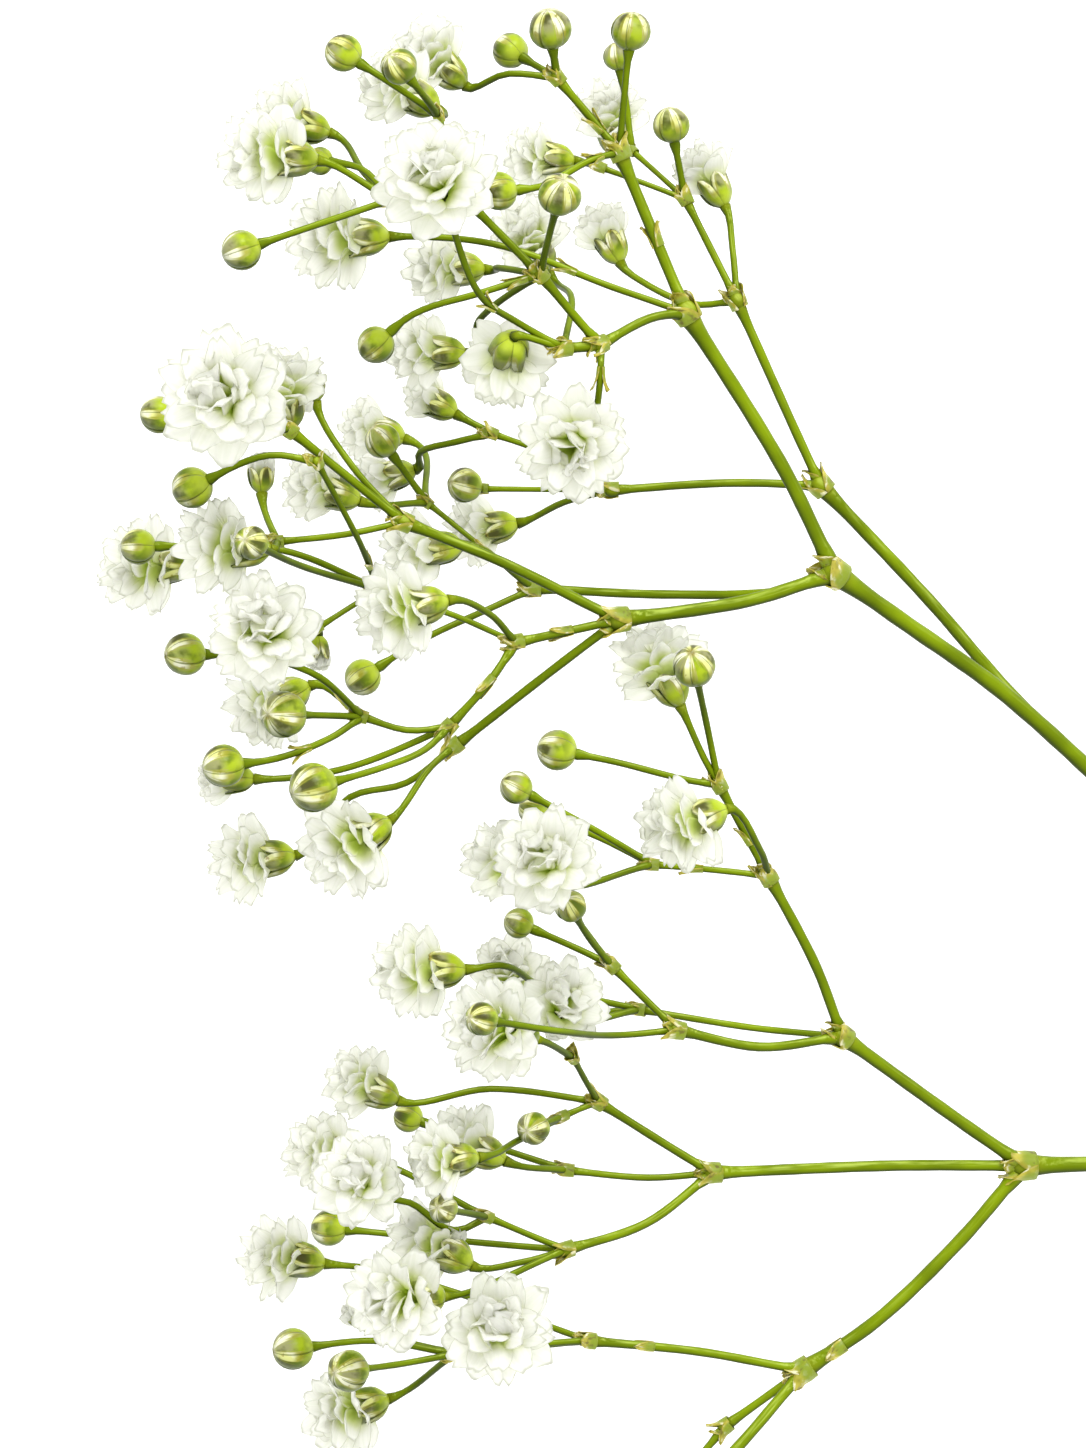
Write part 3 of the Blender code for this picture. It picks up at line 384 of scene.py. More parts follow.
class Piece:
    """Grids gathered into one mesh, with UVs, and a tone and a depth for each point."""

    def __init__(self):
        self.points, self.tones, self.depths, self.faces, self.uvs = [], [], [], [], []

    def add_grid(self, grid, across, along, tone=0.0, depth=0.0, closed=False):
        """Adds rows of points. A closed grid joins its last column to its first and has caps."""
        grid = np.array(grid, float)
        grid[..., 2] = np.maximum(grid[..., 2], LOWEST * MM)
        rows, columns = grid.shape[:2]
        first = len(self.points)
        self.points.extend(grid.reshape(-1, 3).tolist())
        self.tones.extend(np.broadcast_to(np.reshape(tone, (-1, 1)), (rows, columns)).ravel().tolist())
        self.depths.extend(np.broadcast_to(depth, (rows, columns)).ravel().tolist())
        for row in range(rows - 1):
            low, high = first + row * columns, first + (row + 1) * columns
            for column in range(columns if closed else columns - 1):
                after = (column + 1) % columns
                self.faces.append((low + column, low + after, high + after, high + column))
                corners = ((column, row), (column + 1, row), (column + 1, row + 1), (column, row + 1))
                self.uvs += [(across[there], along[here]) for there, here in corners]
        if closed:
            for row in (0, rows - 1):
                self.faces.append(tuple(range(first + row * columns, first + (row + 1) * columns)))
                self.uvs += [(across[column], along[row]) for column in range(columns)]

    def made(self, name, material, slot, thickness=0.0):
        """The object, riding on the part. A thickness makes its sheets solid."""
        mesh = bpy.data.meshes.new(name)
        mesh.from_pydata(self.points, [], self.faces)
        mesh.uv_layers.new(name="shape").data.foreach_set("uv", [number for uv in self.uvs for number in uv])
        if not thickness:
            bm = bmesh.new()
            bm.from_mesh(mesh)
            bmesh.ops.recalc_face_normals(bm, faces=bm.faces)
            bm.to_mesh(mesh)
            bm.free()
        # How far each point faces the painted light's direction; the materials paint light and shade by it.
        facing_painted_light = [corner.normal.dot(PAINTED_LIGHT_FROM) for corner in mesh.vertices]
        for label, values in (("tone", self.tones), ("depth", self.depths), ("facing_painted_light", facing_painted_light)):
            mesh.attributes.new(label, "FLOAT", "POINT").data.foreach_set("value", values)
        mesh.materials.append(material)
        mesh.shade_smooth()
        piece = placed(name, mesh)
        if thickness:
            solid = piece.modifiers.new("thickness", "SOLIDIFY")
            solid.thickness = thickness * MM
            solid.offset = 0
        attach(piece, "root")
        return piece


def smooth_route(points, start, end, step):
    """Points about a step apart on a smooth curve through the given ones, from one direction to another."""
    ways = [(after - before).normalized() for before, after in zip(points, points[1:])]
    turns = [start] + [(before + after).normalized() for before, after in zip(ways, ways[1:])] + [end]
    found = [points[0]]
    for k, (first, last) in enumerate(zip(points, points[1:])):
        length = (last - first).length
        leave, arrive = turns[k] * length, turns[k + 1] * length
        count = max(2, round(length / step))
        for part in range(1, count + 1):
            t = part / count
            place = first * (2 * t**3 - 3 * t**2 + 1) + leave * (t**3 - 2 * t**2 + t)
            found.append(place + last * (3 * t**2 - 2 * t**3) + arrive * (t**3 - t**2))
    return found


def add_tube(piece, points, widths, sides, tones):
    """A round stalk along a route, with a width and a tone at each point."""
    side = axes_round(points[1] - points[0])[0]
    rows, along, length = [], [], 0.0
    for k, point in enumerate(points):
        before, after = points[max(k - 1, 0)], points[min(k + 1, len(points) - 1)]
        way = (after - before).normalized()
        side = (side - way * side.dot(way)).normalized()
        other = way.cross(side)
        length += (point - before).length
        along.append(length / MM)
        ring = []
        for step in range(sides):
            angle = 2 * math.pi * step / sides
            ring.append(point + (side * math.cos(angle) + other * math.sin(angle)) * widths[k] / 2 * MM)
        rows.append(ring)
    piece.add_grid(rows, [step / sides for step in range(sides + 1)], along, tones, closed=True)


def add_shell(piece, origin, axis, turn, profile, seed, skew=0.0, bulge=0.0, crumple=0.0, columns=9):
    """A scale or sepal that clasps an axis, from rows of (height, radius, half of its angle in degrees).

    A skew lays one edge over its neighbour, a bulge swells its middle, and its waves grow towards its end.
    """
    side, other = axes_round(axis)
    across = np.linspace(-1, 1, columns)
    phases = [seed.uniform(0, 6) for _ in range(3)]
    rows = []
    for number, (height, radius, half_angle) in enumerate(profile):
        row = []
        share = number / (len(profile) - 1)
        for place in across:
            angle = turn + place * math.radians(half_angle)
            out = side * math.cos(angle) + other * math.sin(angle)
            crease = math.sin(3.5 * place + phases[0] + 2 * share) + math.sin(7 * place * share + phases[1])
            swell = 1 + skew * place + bulge * math.cos(place * math.pi / 2) + crumple * crease * share
            lift = crumple * math.sin(4 * place + phases[2]) * share**2
            row.append(origin + (axis * (height + lift) + out * radius * swell) * MM)
        rows.append(row)
    piece.add_grid(rows, across, np.linspace(0, 1, len(profile)), seed.random())


# A route is a stem's points in metres, from the fork it grows from to its own end.
GROWN = FORKS | BUDS | BLOOMS


def root_of(name):
    """Where a bloom's calyx meets its pedicel: half a width behind the bloom's middle."""
    _, middle, angles, width, _ = BLOOMS[name]
    return spot(middle) - facing_of(angles) * width / 2 * MM


def all_routes():
    """Each route by name."""
    found = {"main": [spot(CUT_END), spot(LIFT_OFF), spot(FORKS["main"][1])]}
    for name, (parent, place, *_, bends) in GROWN.items():
        if parent:
            end = root_of(name) if name in BLOOMS else spot(place)
            found[name] = [spot(FORKS[parent][1])] + [spot(bend) for bend in bends] + [end]
    return found


ROUTES = all_routes()


def parent_of(name):
    """The fork that a stem, bud or bloom grows from."""
    return GROWN[name][0]


def width_of(name):
    """The width of that stem or pedicel."""
    if name == "main":
        return MAIN_WIDTH
    return FORKS[name][2] if name in FORKS else PEDICEL_WIDTH


def arrival(name):
    """The direction in which a stem arrives at its end."""
    return (ROUTES[name][-1] - ROUTES[name][-2]).normalized()


def way_out(name):
    """The direction in which a stem leaves the fork it grows from."""
    return (ROUTES[name][1] - ROUTES[name][0]).normalized()


def curve_of(name):
    """The smooth curve of a route. It leaves its fork a little on its parent's way."""
    leave = (way_out(name) + arrival(parent_of(name)) * PARENT_PULL).normalized()
    arrive = facing_of(BLOOMS[name][2]) if name in BLOOMS else arrival(name)
    return smooth_route(ROUTES[name], leave, arrive * ARRIVAL_PULL, STEM_STEP * MM)


# Green stems, knots and scales.
def add_stem(piece, name):
    """One stem or pedicel, a little thicker at both ends."""
    points = curve_of(name)
    width = width_of(name)
    lengths = [0.0]
    for before, after in zip(points, points[1:]):
        lengths.append(lengths[-1] + (after - before).length / MM)
    widths, tones = [], []
    for length in lengths:
        from_root, from_tip = length / width, (lengths[-1] - length) / width
        collar = swelling(from_root, *ROOT_SWELLING)
        if name in FORKS:
            collar += swelling(from_tip, *KNOT_SWELLING)
        else:
            hidden = BUDS[name][2] / 2 if name in BUDS else 0
            collar += swelling(lengths[-1] - length - hidden, *HEAD_SWELLING)
        wave = UNEVENNESS * math.sin(length * 1.7 + width * 40)
        widths.append(width * (1 + collar + wave))
        tones.append(swelling(from_root, *ROOT_TINT) + swelling(from_tip, *TIP_TINT))
    add_tube(piece, points, widths, STOUT_SIDES if width > STOUT else SLIM_SIDES, tones)


def add_knot(piece, fork):
    """The swollen joint at a fork."""
    width = FORKS[fork][2]
    centre, along = spot(FORKS[fork][1]), arrival(fork)
    points, widths = [], []
    for step in range(KNOT_RINGS):
        angle = math.pi * (0.06 + 0.88 * step / (KNOT_RINGS - 1))
        points.append(centre - along * (width * KNOT_HALF_LENGTH) * math.cos(angle) * MM)
        widths.append(2 * width * KNOT_RADIUS * math.sin(angle) ** 0.8)
    add_tube(piece, points, widths, KNOT_SIDES, [KNOT_TONE] * KNOT_RINGS)


def scale_profile(radius, length, clasp):
    """The rows of a pointed scale on a stem of that radius."""
    profile = []
    for step in range(SCALE_ROWS):
        share = step / (SCALE_ROWS - 1)
        half_angle = clasp * (1 - share**1.6) ** 0.9 + 2
        out = radius * (1.02 + swelling(share, 0.04, 0.3, 0.16)) + TIP_STANDS_OFF * share**3
        profile.append((length * (share - BELOW_CENTRE), out, half_angle))
    return profile


def turn_of(axis, direction):
    """The angle round an axis at which a direction lies."""
    side, other = axes_round(axis)
    return math.atan2(direction.dot(other), direction.dot(side))


def add_bracts(piece, fork, seed):
    """Two bracts at a knot, each under a stem that grows from it, and a collar at each stem's root."""
    axis, centre = arrival(fork), spot(FORKS[fork][1])
    radius = FORKS[fork][2] * KNOT_RADIUS
    children = [name for name in GROWN if parent_of(name) == fork]
    children.sort(key=lambda child: way_out(child).dot(axis))
    ways = [way_out(child) for child in children]
    turns = [turn_of(axis, ways[0])]
    turns.append(turn_of(axis, ways[1]) if len(ways) > 1 else turns[0] + math.pi)
    if math.cos(turns[0] - turns[1]) > 0:
        turns[1] = turns[0] + math.pi
    for turn in turns:
        length = (0.9 + 1.15 * FORKS[fork][2]) * seed.uniform(0.85, 1.15)
        profile = scale_profile(radius, length, BRACT_CLASP)
        turn += seed.uniform(-0.2, 0.2)
        add_shell(piece, centre, axis, turn, profile, seed, **BRACT_FORM)
    for child, way in zip(children, ways):
        width = width_of(child)
        base = centre + way * (radius * 0.9 + width * 0.3) * MM
        profile = scale_profile(width * 0.62, width * seed.uniform(0.9, 1.4), COLLAR_CLASP)
        turn = turn_of(way, axis) + seed.uniform(-0.6, 0.6)
        add_shell(piece, base, way, turn, profile, seed, **COLLAR_FORM)


def add_scales(piece, name, share, seed):
    """A pair of narrow scales part of the way along a stem."""
    points = curve_of(name)
    at = max(1, min(len(points) - 2, round(share * (len(points) - 1))))
    axis = (points[at + 1] - points[at - 1]).normalized()
    profile = scale_profile(width_of(name) * 0.55, SCALE_LENGTH, SCALE_CLASP)
    turn = seed.uniform(0, math.pi)
    for side in (0, math.pi):
        add_shell(piece, points[at], axis, turn + side, profile, seed, **SCALE_FORM)


# Buds and calyx cups, each in five sepals.
def bud_profile(radius):
    """A sepal of a closed bud, from its neck to where the five meet."""
    profile = []
    for step in range(BUD_ROWS):
        angle = math.radians(9 + 170 * step / (BUD_ROWS - 1))
        height = -math.cos(angle) * radius * (BUD_STRETCH if angle > math.pi / 2 else 1.0)
        profile.append((height, math.sin(angle) * radius * BUD_SHARE, SEPAL_CLASP))
    return profile


def calyx_size(width):
    """Length and rim radius of the cup of a bloom of this width."""
    return CUP_LENGTH[0] + CUP_LENGTH[1] * width, CUP_RADIUS[0] + CUP_RADIUS[1] * width


def add_sepals(piece, origin, axis, profile, form, seed):
    """Sepals all round an axis, turned at random."""
    turn = seed.uniform(0, 2 * math.pi)
    for sepal in range(SEPALS):
        at = turn + 2 * math.pi * sepal / SEPALS
        add_shell(piece, origin, axis, at, profile, seed, **form)


def add_bud(piece, name, seed):
    """A closed round bud."""
    _, middle, width, _ = BUDS[name]
    add_sepals(piece, spot(middle), arrival(name), bud_profile(width / 2), BUD_FORM, seed)


def add_calyx(piece, name, seed):
    """The green cup under a bloom. Its sepals end in free points."""
    _, _, angles, width, _ = BLOOMS[name]
    length, radius = calyx_size(width)
    profile = [(length * height, radius * reach, half_angle) for height, reach, half_angle in CUP_ROWS]
    add_sepals(piece, root_of(name), facing_of(angles), profile, CUP_FORM, seed)


# Petals keep clear of stems, buds, cups, the ground and other blooms.
def distance_to(point, first, last):
    """How far a point is from the straight stretch between two others."""
    stretch = last - first
    share = (point - first).dot(stretch) / stretch.length_squared
    return (point - first - stretch * min(max(share, 0), 1)).length


def obstacles_of(name):
    """A bloom's middle, the stretches near it with their radii, and the ways and distances to its borders."""
    _, place, _, width, _ = BLOOMS[name]
    middle, reach = spot(place), width * NEARBY * MM
    stretches = []
    for carried, points in ROUTES.items():
        for first, last in zip(points, points[1:]):
            if carried != name and distance_to(middle, first, last) < reach:
                stretches.append((first, last, width_of(carried) / 2 * MM))
    for _, centre, size, _ in BUDS.values():
        bud = spot(centre)
        if (bud - middle).length < reach + size * MM:
            stretches.append((bud, bud + Vector((0, 0, BUD_LENGTH * MM)), size / 2 * MM))
    others = []
    for other, (_, centre, angles, size, _) in BLOOMS.items():
        apart = spot(centre) - middle
        if other != name and apart.length < (width + size) * NEARBY * MM:
            length, radius = calyx_size(size)
            root = root_of(other)
            stretches.append((root, root + facing_of(angles) * length * MM, radius * MM))
            border = apart.length_squared + (width / 2 * MM) ** 2 - (size / 2 * MM) ** 2
            others.append((apart.normalized(), border / (2 * apart.length)))
    return middle, stretches, others


def is_free(point, obstacles):
    """True where a petal clears all that is near it."""
    middle, stretches, others = obstacles
    gap = PETAL_GAP * MM
    if point.z < gap:
        return False
    if any(distance_to(point, first, last) < radius + gap for first, last, radius in stretches):
        return False
    return all((point - middle).dot(way) < border - gap for way, border in others)


def reach_of(throat, tip, side, obstacles):
    """How far towards its tip a petal can grow, as a share of the way."""
    free = 0
    while free < REACH_STEPS:
        ahead = throat + (tip - throat) * (free + 1) / REACH_STEPS
        if not all(is_free(ahead + side * share, obstacles) for share in WATCHED):
            break
        free += 1
    return max(free / REACH_STEPS, SHORTEST_REACH)


def petal_grid(throat, control, tip, side, width, cup, seed):
    """One petal: a narrow claw that opens to a broad blade with a notched, waved end."""
    along, across = ALONG[:, None], ACROSS[None, :]
    phase, bend = seed.uniform(0, 6), seed.uniform(0, 6)
    notch = seed.uniform(0.0, DEEPEST_NOTCH) * np.exp(-((across / NOTCH_WIDTH) ** 2)) * along**4
    scallops = SCALLOPS * np.sin(6 * across + phase) * along**4
    way = (along * (1 - END_ROUNDING * across**2 * along**2 - notch + scallops))[..., None]
    taper = np.sqrt(1 - END_TAPER * np.clip((along - BROADEST) / (1 - BROADEST), 0, 1) ** 2)
    half = width / 2 * (CLAW + (1 - CLAW) * smoothstep(along / BROADEST)) * taper
    root, bow, end = (np.array(point) for point in (throat, control, tip))
    line = (1 - way) ** 2 * root + 2 * way * (1 - way) * bow + way**2 * end
    tangent = (1 - way) * (bow - root) + way * (end - bow)
    tangent /= np.linalg.norm(tangent, axis=2, keepdims=True)
    square = np.cross(tangent, np.array(side))
    ruffle = LONG_RUFFLE * np.sin(4.5 * across + bend) * along**2
    ruffle = ruffle + SHORT_RUFFLE * np.sin(8 * across + phase) * along**4
    lift = half * (cup * across**2 + ruffle)
    return line + np.array(side) * (across * half)[..., None] + square * lift[..., None]


def bloom(name, material):
    """A double bloom: many petals that rise from the cup and spread over a ball."""
    _, place, angles, width, _ = BLOOMS[name]
    seed = random.Random(name)
    middle, facing = spot(place), facing_of(angles)
    first_side, second_side = axes_round(facing)
    length, mouth = calyx_size(width)
    throat = root_of(name) + facing * length * THROAT * MM
    obstacles = obstacles_of(name)
    widest = math.radians(min(WIDEST_OPEN, LEAST_OPEN + (width - HALF_OPEN) * OPENING))
    count = round(PETALS_A_MM * width + OUTER_PETALS)
    piece = Piece()
    for k in range(HEART_PETALS + count):
        # How far out the petal stands: 0 in the heart, nearly 1 at the rim.
        share = max(0, k - HEART_PETALS + 0.5) / count
        lean = math.acos(1 - share * (1 - math.cos(widest))) + seed.uniform(-LEAN_DRIFT, LEAN_DRIFT)
        turn = k * GOLDEN_ANGLE + seed.uniform(-TURN_DRIFT, TURN_DRIFT)
        radius = width / 2 * seed.uniform(*REACH) * MM
        blade = width * (BLADE_WIDTH[0] + BLADE_WIDTH[1] * share) * seed.uniform(*BLADE_RANGE) * MM
        hollow = seed.uniform(*HOLLOW)
        out = first_side * math.cos(turn) + second_side * math.sin(turn)
        spread = out * mouth * (MOUTH_SPREAD[0] + MOUTH_SPREAD[1] * share)
        start = throat + (facing * width * HEART_LIFT * (1 - share) + spread) * MM
        tip = middle + (facing * math.cos(lean) + out * math.sin(lean)) * radius
        control = start + facing * (tip - start).length * (BOW[0] + BOW[1] * math.sin(lean))
        if k < HEART_PETALS:
            height = width * seed.uniform(*HEART_HEIGHT) * MM
            tip = start + facing * height * HEART_TIP + out * width * seed.uniform(*HEART_LEAN) * MM
            control = start + facing * height + out * width * HEART_BOW * MM
        reach = reach_of(start, tip, (tip - start).cross(out).normalized() * blade / 2, obstacles)
        tip, control = start + (tip - start) * reach, start + (control - start) * reach
        way, level = (tip - start).normalized(), facing.cross(out)
        face = way.cross(level) * -1
        up = Vector((0, 0, FACE_UP if face.z > 0 else -FACE_UP))
        face += up + level * seed.uniform(-TWIST, TWIST)
        side = face.cross(way).normalized()
        grid = petal_grid(start, control, tip, side, blade, hollow, seed)
        depth = 1 - np.linalg.norm(grid - np.array(middle), axis=2) / (width / 2 * MM)
        piece.add_grid(grid, ACROSS, ALONG, seed.random(), depth)
    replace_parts(piece.made(name + "_petals", material, "petals", PETAL_THICKNESS), name)


# Materials. They read the UVs of the grids: x across or round, y along.
STEM_DARK = (0.14, 0.205, 0.001)
STEM_LIGHT = (0.225, 0.32, 0.002)
# Pale streak colour, used as a painted highlight on the side facing the light.
STEM_STREAK_HIGHLIGHT = (0.5, 0.63, 0.1)
STEM_GOLD = (0.36, 0.38, 0.02)
# Painted shade for the side of a stem facing away from the light.
STEM_PAINTED_SHADE = (0.032, 0.052, 0.001)

BRACT_DARK = (0.36, 0.33, 0.015)
BRACT_LIGHT = (0.6, 0.53, 0.06)
# Cream, painted as a highlight on the crests of a bract's relief.
BRACT_CREST_HIGHLIGHT = (0.9, 0.87, 0.55)
BRACT_BASE = (0.24, 0.34, 0.006)
# Dark brown, painted as shade in a bract's creases.
BRACT_CREASE_SHADE = (0.13, 0.1, 0.008)
BRACT_GLOW = (0.75, 0.65, 0.1)

SEPAL_DARK = (0.15, 0.23, 0.002)
SEPAL_LIGHT = (0.43, 0.56, 0.008)
SEPAL_BASE = (0.6, 0.73, 0.05)
MARGIN_DARK = (0.78, 0.8, 0.28)
MARGIN_LIGHT = (0.97, 0.97, 0.72)
MARGIN_SPECKS = (0.3, 0.22, 0.02)
MARGIN_LINE = (0.4, 0.38, 0.02)
PATCH_DARK = (0.08, 0.08, 0.015)
PATCH_LIGHT = (0.34, 0.34, 0.15)
TIP_DARK = (0.28, 0.2, 0.03)
TIP_LIGHT = (0.72, 0.7, 0.45)
# Painted shade in the grooves along a sepal's edges, where it meets its neighbour.
SEPAL_GROOVE_SHADE = (0.12, 0.15, 0.01)
# Painted shade for the side of a sepal facing away from the light.
SEPAL_PAINTED_SHADE = (0.04, 0.07, 0.001)
SEPAL_GLOW = (0.5, 0.6, 0.1)

PETAL_VEIN = (0.92, 0.93, 0.9)
PETAL_WHITE = (0.985, 0.985, 0.98)
# Grey, painted as shade along a petal's edge.
PETAL_RIM_SHADE = (0.58, 0.6, 0.48)
# The petal's own yellow-green root colour, also used as painted light deep in a bloom.
PETAL_ROOT_AND_PAINTED_LIGHT = (0.87, 0.95, 0.34)
# Stronger yellow-green for the deepest heart: partly its own green, partly painted light.
PETAL_HEART_AND_PAINTED_LIGHT = (0.8, 0.94, 0.1)
PETAL_GLOW = (0.99, 0.99, 0.9)

PITH_DARK = (0.62, 0.68, 0.35)
PITH_LIGHT = (0.8, 0.82, 0.6)


class Surface:
    """A node material with one Principled shader, and short ways to add its nodes."""

    def __init__(self, name, roughness):
        self.material = bpy.data.materials.new(name)
        self.material.use_nodes = True
        self.tree = self.material.node_tree
        self.shader = self.tree.nodes["Principled BSDF"]
        self.shader.inputs["Roughness"].default_value = roughness
        uv = self.node("SeparateXYZ")
        uv_map = self.node("UVMap")
        uv_map.uv_map = "shape"
        self.put(uv_map.outputs["UV"], uv.inputs["Vector"])
        self.across, self.along = uv.outputs["X"], uv.outputs["Y"]
        self.off_middle = self.math("ABSOLUTE", self.across)
        self.place = self.node("TexCoord").outputs["Object"]
        # The third number is how far a point faces the painted light, read to paint light and shade.
        self.tone, self.depth, self.facing_painted_light = (self.attribute(label) for label in ("tone", "depth", "facing_painted_light"))

    def node(self, kind):
        """A new shader node."""
        return self.tree.nodes.new("ShaderNode" + kind)

    def attribute(self, name):
        """A number that a piece keeps for each point."""
        node = self.node("Attribute")
        node.attribute_name = name
        return node.outputs["Fac"]

    def put(self, value, socket):
        """Links a socket, or sets a number or a colour of three numbers."""
        if isinstance(value, bpy.types.NodeSocket):
            self.tree.links.new(value, socket)
        else:
            socket.default_value = (*value, 1) if isinstance(value, tuple) else value

    def math(self, operation, first, second=0.0):
        """A sum, product or the like."""
        node = self.node("Math")
        node.operation = operation
        self.put(first, node.inputs[0])
        self.put(second, node.inputs[1])
        return node.outputs[0]

    def times(self, first, second):
        """A product."""
        return self.math("MULTIPLY", first, second)

    def rise(self, value, start, end):
        """0 below start, 1 above end, and an even rise between."""
        node = self.node("MapRange")
        node.interpolation_type = "SMOOTHSTEP"
        self.put(value, node.inputs["Value"])
        node.inputs["From Min"].default_value = start
        node.inputs["From Max"].default_value = end
        return node.outputs["Result"]

    def fall(self, value, start, end):
        """1 below start, 0 above end, and an even fall between."""
        return self.math("SUBTRACT", 1.0, self.rise(value, start, end))

    def noise(self, scale, detail=3.0, place=None):
        """Noise in the object's own space, or at another place."""
        node = self.node("TexNoise")
        node.inputs["Scale"].default_value = scale
        node.inputs["Detail"].default_value = detail
        self.put(place or self.place, node.inputs["Vector"])
        return node.outputs["Fac"]

    def grain(self, across, along, detail=3.0):
        """Noise with so many waves across and along a grid, and its own for each tone."""
        mapping = self.node("Mapping")
        mapping.inputs["Scale"].default_value = (across, along, 1)
        joined = self.node("CombineXYZ")
        self.put(self.across, joined.inputs["X"])
        self.put(self.along, joined.inputs["Y"])
        self.put(self.times(self.tone, 7.0), joined.inputs["Z"])
        self.put(joined.outputs[0], mapping.inputs["Vector"])
        return self.noise(1.0, detail, mapping.outputs[0])

    def mix(self, factor, first, second):
        """A blend of two colours."""
        node = self.node("Mix")
        node.data_type = "RGBA"
        self.put(factor, node.inputs[0])
        self.put(first, node.inputs[6])
        self.put(second, node.inputs[7])
        return node.outputs[2]

    def colour(self, value):
        """Sets the skin's colour."""
        self.put(value, self.shader.inputs["Base Color"])

    def bump(self, height, strength, distance):
        """Fine relief, with a depth in millimetres."""
        node = self.node("Bump")
        node.inputs["Strength"].default_value = strength
        node.inputs["Distance"].default_value = distance * MM
        self.put(height, node.inputs["Height"])
        self.put(node.outputs[0], self.shader.inputs["Normal"])

    def let_light_through(self, colour, share):
        """Mixes in light from the other side."""
        through = self.node("BsdfTranslucent")
        self.put(colour, through.inputs["Color"])
        mixed = self.node("MixShader")
        mixed.inputs[0].default_value = share
        self.put(self.shader.outputs[0], mixed.inputs[1])
        self.put(through.outputs[0], mixed.inputs[2])
        self.put(mixed.outputs[0], self.tree.nodes["Material Output"].inputs["Surface"])


def stem_green():
    """Yellow-green skin with pale streaks, shown only as a painted highlight on the side facing the light,
    painted shade on the side facing away, golden near the knots.
    """
    skin = Surface("stem green", 0.42)
    streaks = skin.grain(10, 0.3)
    green = skin.mix(skin.rise(skin.noise(160), 0.35, 0.68), STEM_DARK, STEM_LIGHT)
    # The streaks show only on the side facing the light, as a painted highlight.
    streak_highlight = skin.times(skin.rise(streaks, 0.38, 0.7), skin.rise(skin.facing_painted_light, 0.78, 0.98))
    green = skin.mix(skin.times(streak_highlight, 0.8), green, STEM_STREAK_HIGHLIGHT)
    green = skin.mix(skin.times(skin.rise(skin.tone, 0.3, 1.0), 0.35), green, STEM_GOLD)
    # Painted shade darkens the side facing away from the light.
    skin.colour(skin.mix(skin.rise(skin.facing_painted_light, -0.15, 0.95), STEM_PAINTED_SHADE, green))
    skin.bump(streaks, 0.25, 0.04)
    skin.shader.inputs["Specular IOR Level"].default_value = 0.06
    return skin.material


def bract_gold():
    """Dry papery scale: golden, with cream painted highlights on the crests of its relief, a green base and
    dark brown painted shade in its creases.
    """
    paper = Surface("bract gold", 0.42)
    creases = paper.grain(2.2, 2.6, 5.0)
    gold = paper.mix(paper.rise(paper.noise(900, 2.0), 0.35, 0.65), BRACT_DARK, BRACT_LIGHT)
    # Cream on the crests of the relief is a painted highlight.
    gold = paper.mix(paper.rise(creases, 0.53, 0.65), gold, BRACT_CREST_HIGHLIGHT)
    base = paper.times(paper.fall(paper.off_middle, 0.6, 0.92), paper.fall(paper.along, 0.3, 0.72))
    gold = paper.mix(paper.times(base, 0.9), gold, BRACT_BASE)
    # Dark brown in the valleys of the relief is painted shade.
    paper.colour(paper.mix(paper.times(paper.fall(creases, 0.32, 0.42), 0.8), gold, BRACT_CREASE_SHADE))
    paper.bump(creases, 0.8, 0.12)
    paper.let_light_through(BRACT_GLOW, 0.15)
    return paper.material


